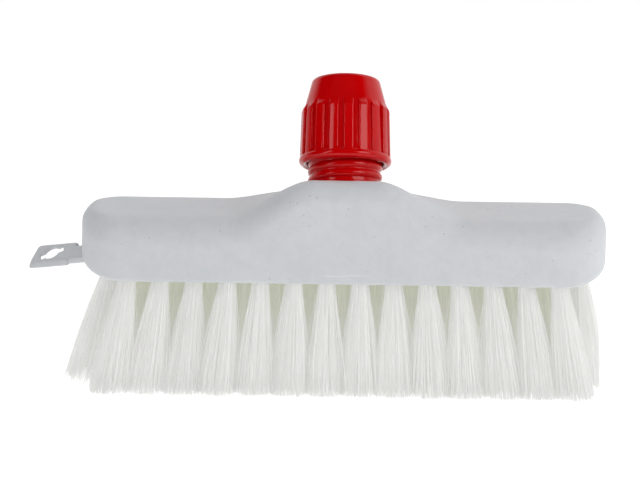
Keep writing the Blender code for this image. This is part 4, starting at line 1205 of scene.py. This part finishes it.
class SCRUB_OT_nut(bpy.types.Operator):
    """Make the ribbed clamp nut with its rolled foot, inner thread and clamping cone"""

    bl_idname = "scrub.nut"
    bl_label = "Clamp nut"

    def execute(self, context):
        sizes = settings()
        handle, nut = sizes.handle, sizes.nut
        angles = rib_angles(nut)
        mouth, bead, opening = nut.mouth / 2, nut.bead / 2, nut.opening / 2
        thread = handle.core / 2 + handle.clearance
        first_turn, turns, widest = 2.0, 4.0, 0.49 * handle.pitch
        low, high = nut.mouth_depth + mouth - thread, nut.bead_top - 2 * nut.bead_width
        groove = min(handle.ridge / 2 + handle.clearance, widest)
        band = thread_band(angles, low, high, thread, groove, nut.standoff, first_turn, turns)
        below = [(mouth, BEVEL), (mouth, nut.mouth_depth), (thread, low)]
        bottom = nut.bead_top + nut.bead_width
        above = [(thread, high), (bead, nut.bead_top - nut.bead_width), (bead, nut.bead_top),
                 (nut_cone_radius(bottom), bottom)]
        above += run_pairs(above[-1], (opening, nut.cone_top), 8)
        # The opening's edge is rounded in two steps
        above += [(opening, nut.cone_top), (opening, nut.height - nut.rim_round),
                  (opening + 0.0002, nut.height - 0.0006),
                  (opening + nut.rim_round / 2, nut.height)]
        patches = [(nut_skin(angles, nut), True), (lathe(below, angles), True), (band, False),
                   (lathe(above, angles), True)]
        patches = [(on_handle(grid, nut.standoff), wrap) for grid, wrap in patches]
        piece = solid_from_patches("nut_moulding", patches)
        finish_piece(piece, glossy_red_polypropylene("red_nut_polypropylene", 0.08),
                     "nut", ["clamp_nut"], 40.0)
        return {"FINISHED"}


class SCRUB_OT_collet(bpy.types.Operator):
    """Make the split grip collet with its keys and slits"""

    bl_idname = "scrub.collet"
    bl_label = "Grip collet"

    def execute(self, context):
        sizes = settings()
        handle, collet = sizes.handle, sizes.collet
        rings = on_handle(lathe(collet_outline(), ring_angles(96)))
        piece = solid_from_patches("collet_moulding", [(rings, True)])
        tail = handle.bore / 2 + collet.wall
        bottom = collet.shoulder - collet.tail_length
        past_top = 0.01
        keys = upright_bars("keys", (math.pi / 4, 1.25 * math.pi), tail - collet.key_width / 4,
                            tail + collet.key_height, bottom, bottom + collet.key_length,
                            collet.key_width)
        combine(piece, keys, "UNION")
        slits = upright_bars("slits", ring_angles(4), handle.bore / 4, handle.bore,
                             bottom + collet.slit_setback, collet.top + past_top, collet.slit)
        combine(piece, slits, "DIFFERENCE")
        finish_piece(piece, natural_polyamide(), "collet", ["grip_collet"])
        return {"FINISHED"}


class SCRUB_OT_bristles(bpy.types.Operator):
    """Make the filaments of every tuft"""

    bl_idname = "scrub.bristles"
    bl_label = "Bristles"

    def execute(self, context):
        material = drawn_polyester()
        rng = np.random.default_rng(SEED)
        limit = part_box("brush_block")[1][0]
        for node, root, along, across in tuft_table():
            name = node.replace("tuft", "bristles")
            piece = add_object(name, bristle_mesh(name, rng, root, along, across, limit))
            finish_piece(piece, material, "brush", [node], 80.0)
        return {"FINISHED"}


class SCRUB_OT_stage(bpy.types.Operator):
    """Set up the floor, the soft lights and the camera"""

    bl_idname = "scrub.stage"
    bl_label = "Stage"

    def execute(self, context):
        scene = context.scene
        stage = settings().stage
        scene.view_settings.view_transform = "Standard"
        corners = np.array(((-1, -1, 0), (1, -1, 0), (1, 1, 0), (-1, 1, 0))) * stage.floor_size / 2
        floor = add_object("floor", mesh_from_arrays("floor", corners, [np.arange(4)[None]]))
        floor.data.materials.append(painted_floor())
        scene.world = self.paper(stage)
        powers = (stage.key_power, stage.fill_power, stage.top_power)
        for (name, place, size), power in zip(LIGHTS, powers):
            lamp = self.light(name, place, size, power)
        # The last of them, from above, leaves no bright patch on the glossy pieces
        lamp.visible_glossy = False
        scene.camera = self.camera(stage)
        return {"FINISHED"}

    def paper(self, stage):
        """White paper on one side of the brush, and a dark studio on the camera's side."""
        world = bpy.data.worlds.new("white_surroundings")
        world.use_nodes = True
        tree = world.node_tree
        way = add_node(tree, "TexCoord").outputs["Generated"]
        back = add_node(tree, "VectorMath", {0: way, 1: PAPER_WAY}, operation="DOT_PRODUCT")
        paper = add_node(tree, "MapRange", {
            "Value": back, "From Min": -0.05, "From Max": 0.30, "To Min": stage.world_dark,
            "To Max": 1.0})
        strength = add_node(tree, "Math", {0: paper, 1: stage.world_strength},
                            operation="MULTIPLY").outputs[0]
        background = tree.nodes["Background"]
        background.inputs["Color"].default_value = (1.0, 1.0, 1.0, 1.0)
        tree.links.new(strength, background.inputs["Strength"])
        return world

    def light(self, name, place, size, power):
        """A rectangular soft light that faces the brush."""
        lamp = bpy.data.lights.new(name, "AREA")
        lamp.shape = "RECTANGLE"
        lamp.size, lamp.size_y = size
        lamp.energy = power
        item = add_object(name, lamp)
        item.location = place
        aim = Vector(LIT_POINT) - Vector(place)
        item.rotation_euler = aim.to_track_quat("-Z", "Y").to_euler()
        return item

    def camera(self, stage):
        """Camera at the photograph's angle, rolled as the photograph is."""
        turn, rise, roll = stage.azimuth, stage.elevation, stage.roll
        ahead = Vector((math.sin(turn) * math.cos(rise), math.cos(turn) * math.cos(rise),
                        -math.sin(rise)))
        right = Vector((math.cos(turn), -math.sin(turn), 0.0))
        up = right.cross(ahead)
        rolled = right * math.cos(roll) + up * math.sin(roll)
        upright = up * math.cos(roll) - right * math.sin(roll)
        data = bpy.data.cameras.new("camera")
        data.sensor_width = SENSOR_WIDTH_MM
        focal_pixels = stage.pixels_per_metre * stage.distance
        data.lens = focal_pixels * SENSOR_WIDTH_MM / PHOTO_WIDTH
        data.clip_end = CAMERA_RANGE
        item = add_object("camera", data)
        place = Vector((stage.target_x, 0.0, stage.target_z)) - ahead * stage.distance
        turned = Matrix((rolled, upright, -ahead)).transposed().to_4x4()
        item.matrix_world = Matrix.Translation(place) @ turned
        return item


class SCRUB_PT_panel(bpy.types.Panel):
    """Sidebar panel with a button for each piece"""

    bl_idname = "SCRUB_PT_panel"
    bl_label = "Scrub brush"
    bl_space_type = "VIEW_3D"
    bl_region_type = "UI"
    bl_category = "Scrub brush"

    def draw(self, context):
        for operator in OPERATORS:
            self.layout.operator(operator.bl_idname)


OPERATORS = (SCRUB_OT_block, SCRUB_OT_socket, SCRUB_OT_nut, SCRUB_OT_collet, SCRUB_OT_bristles,
             SCRUB_OT_stage)
GROUPS = (BlockSizes, TabSizes, HandleSizes, NutSizes, ColletSizes, BristleSizes, Finishes,
          StageSettings, BrushSettings)


def register():
    """Register every class and hang the settings on the scene."""
    for item in GROUPS + OPERATORS + (SCRUB_PT_panel,):
        bpy.utils.register_class(item)
    bpy.types.Scene.scrub_brush = PointerProperty(type=BrushSettings)


def unregister():
    """Undo what register does."""
    del bpy.types.Scene.scrub_brush
    for item in reversed(GROUPS + OPERATORS + (SCRUB_PT_panel,)):
        bpy.utils.unregister_class(item)


def main():
    """Make every piece and the stage."""
    register()
    bpy.ops.scrub.block()
    bpy.ops.scrub.socket()
    bpy.ops.scrub.nut()
    bpy.ops.scrub.collet()
    bpy.ops.scrub.bristles()
    bpy.ops.scrub.stage()


if __name__ == "__main__":
    main()
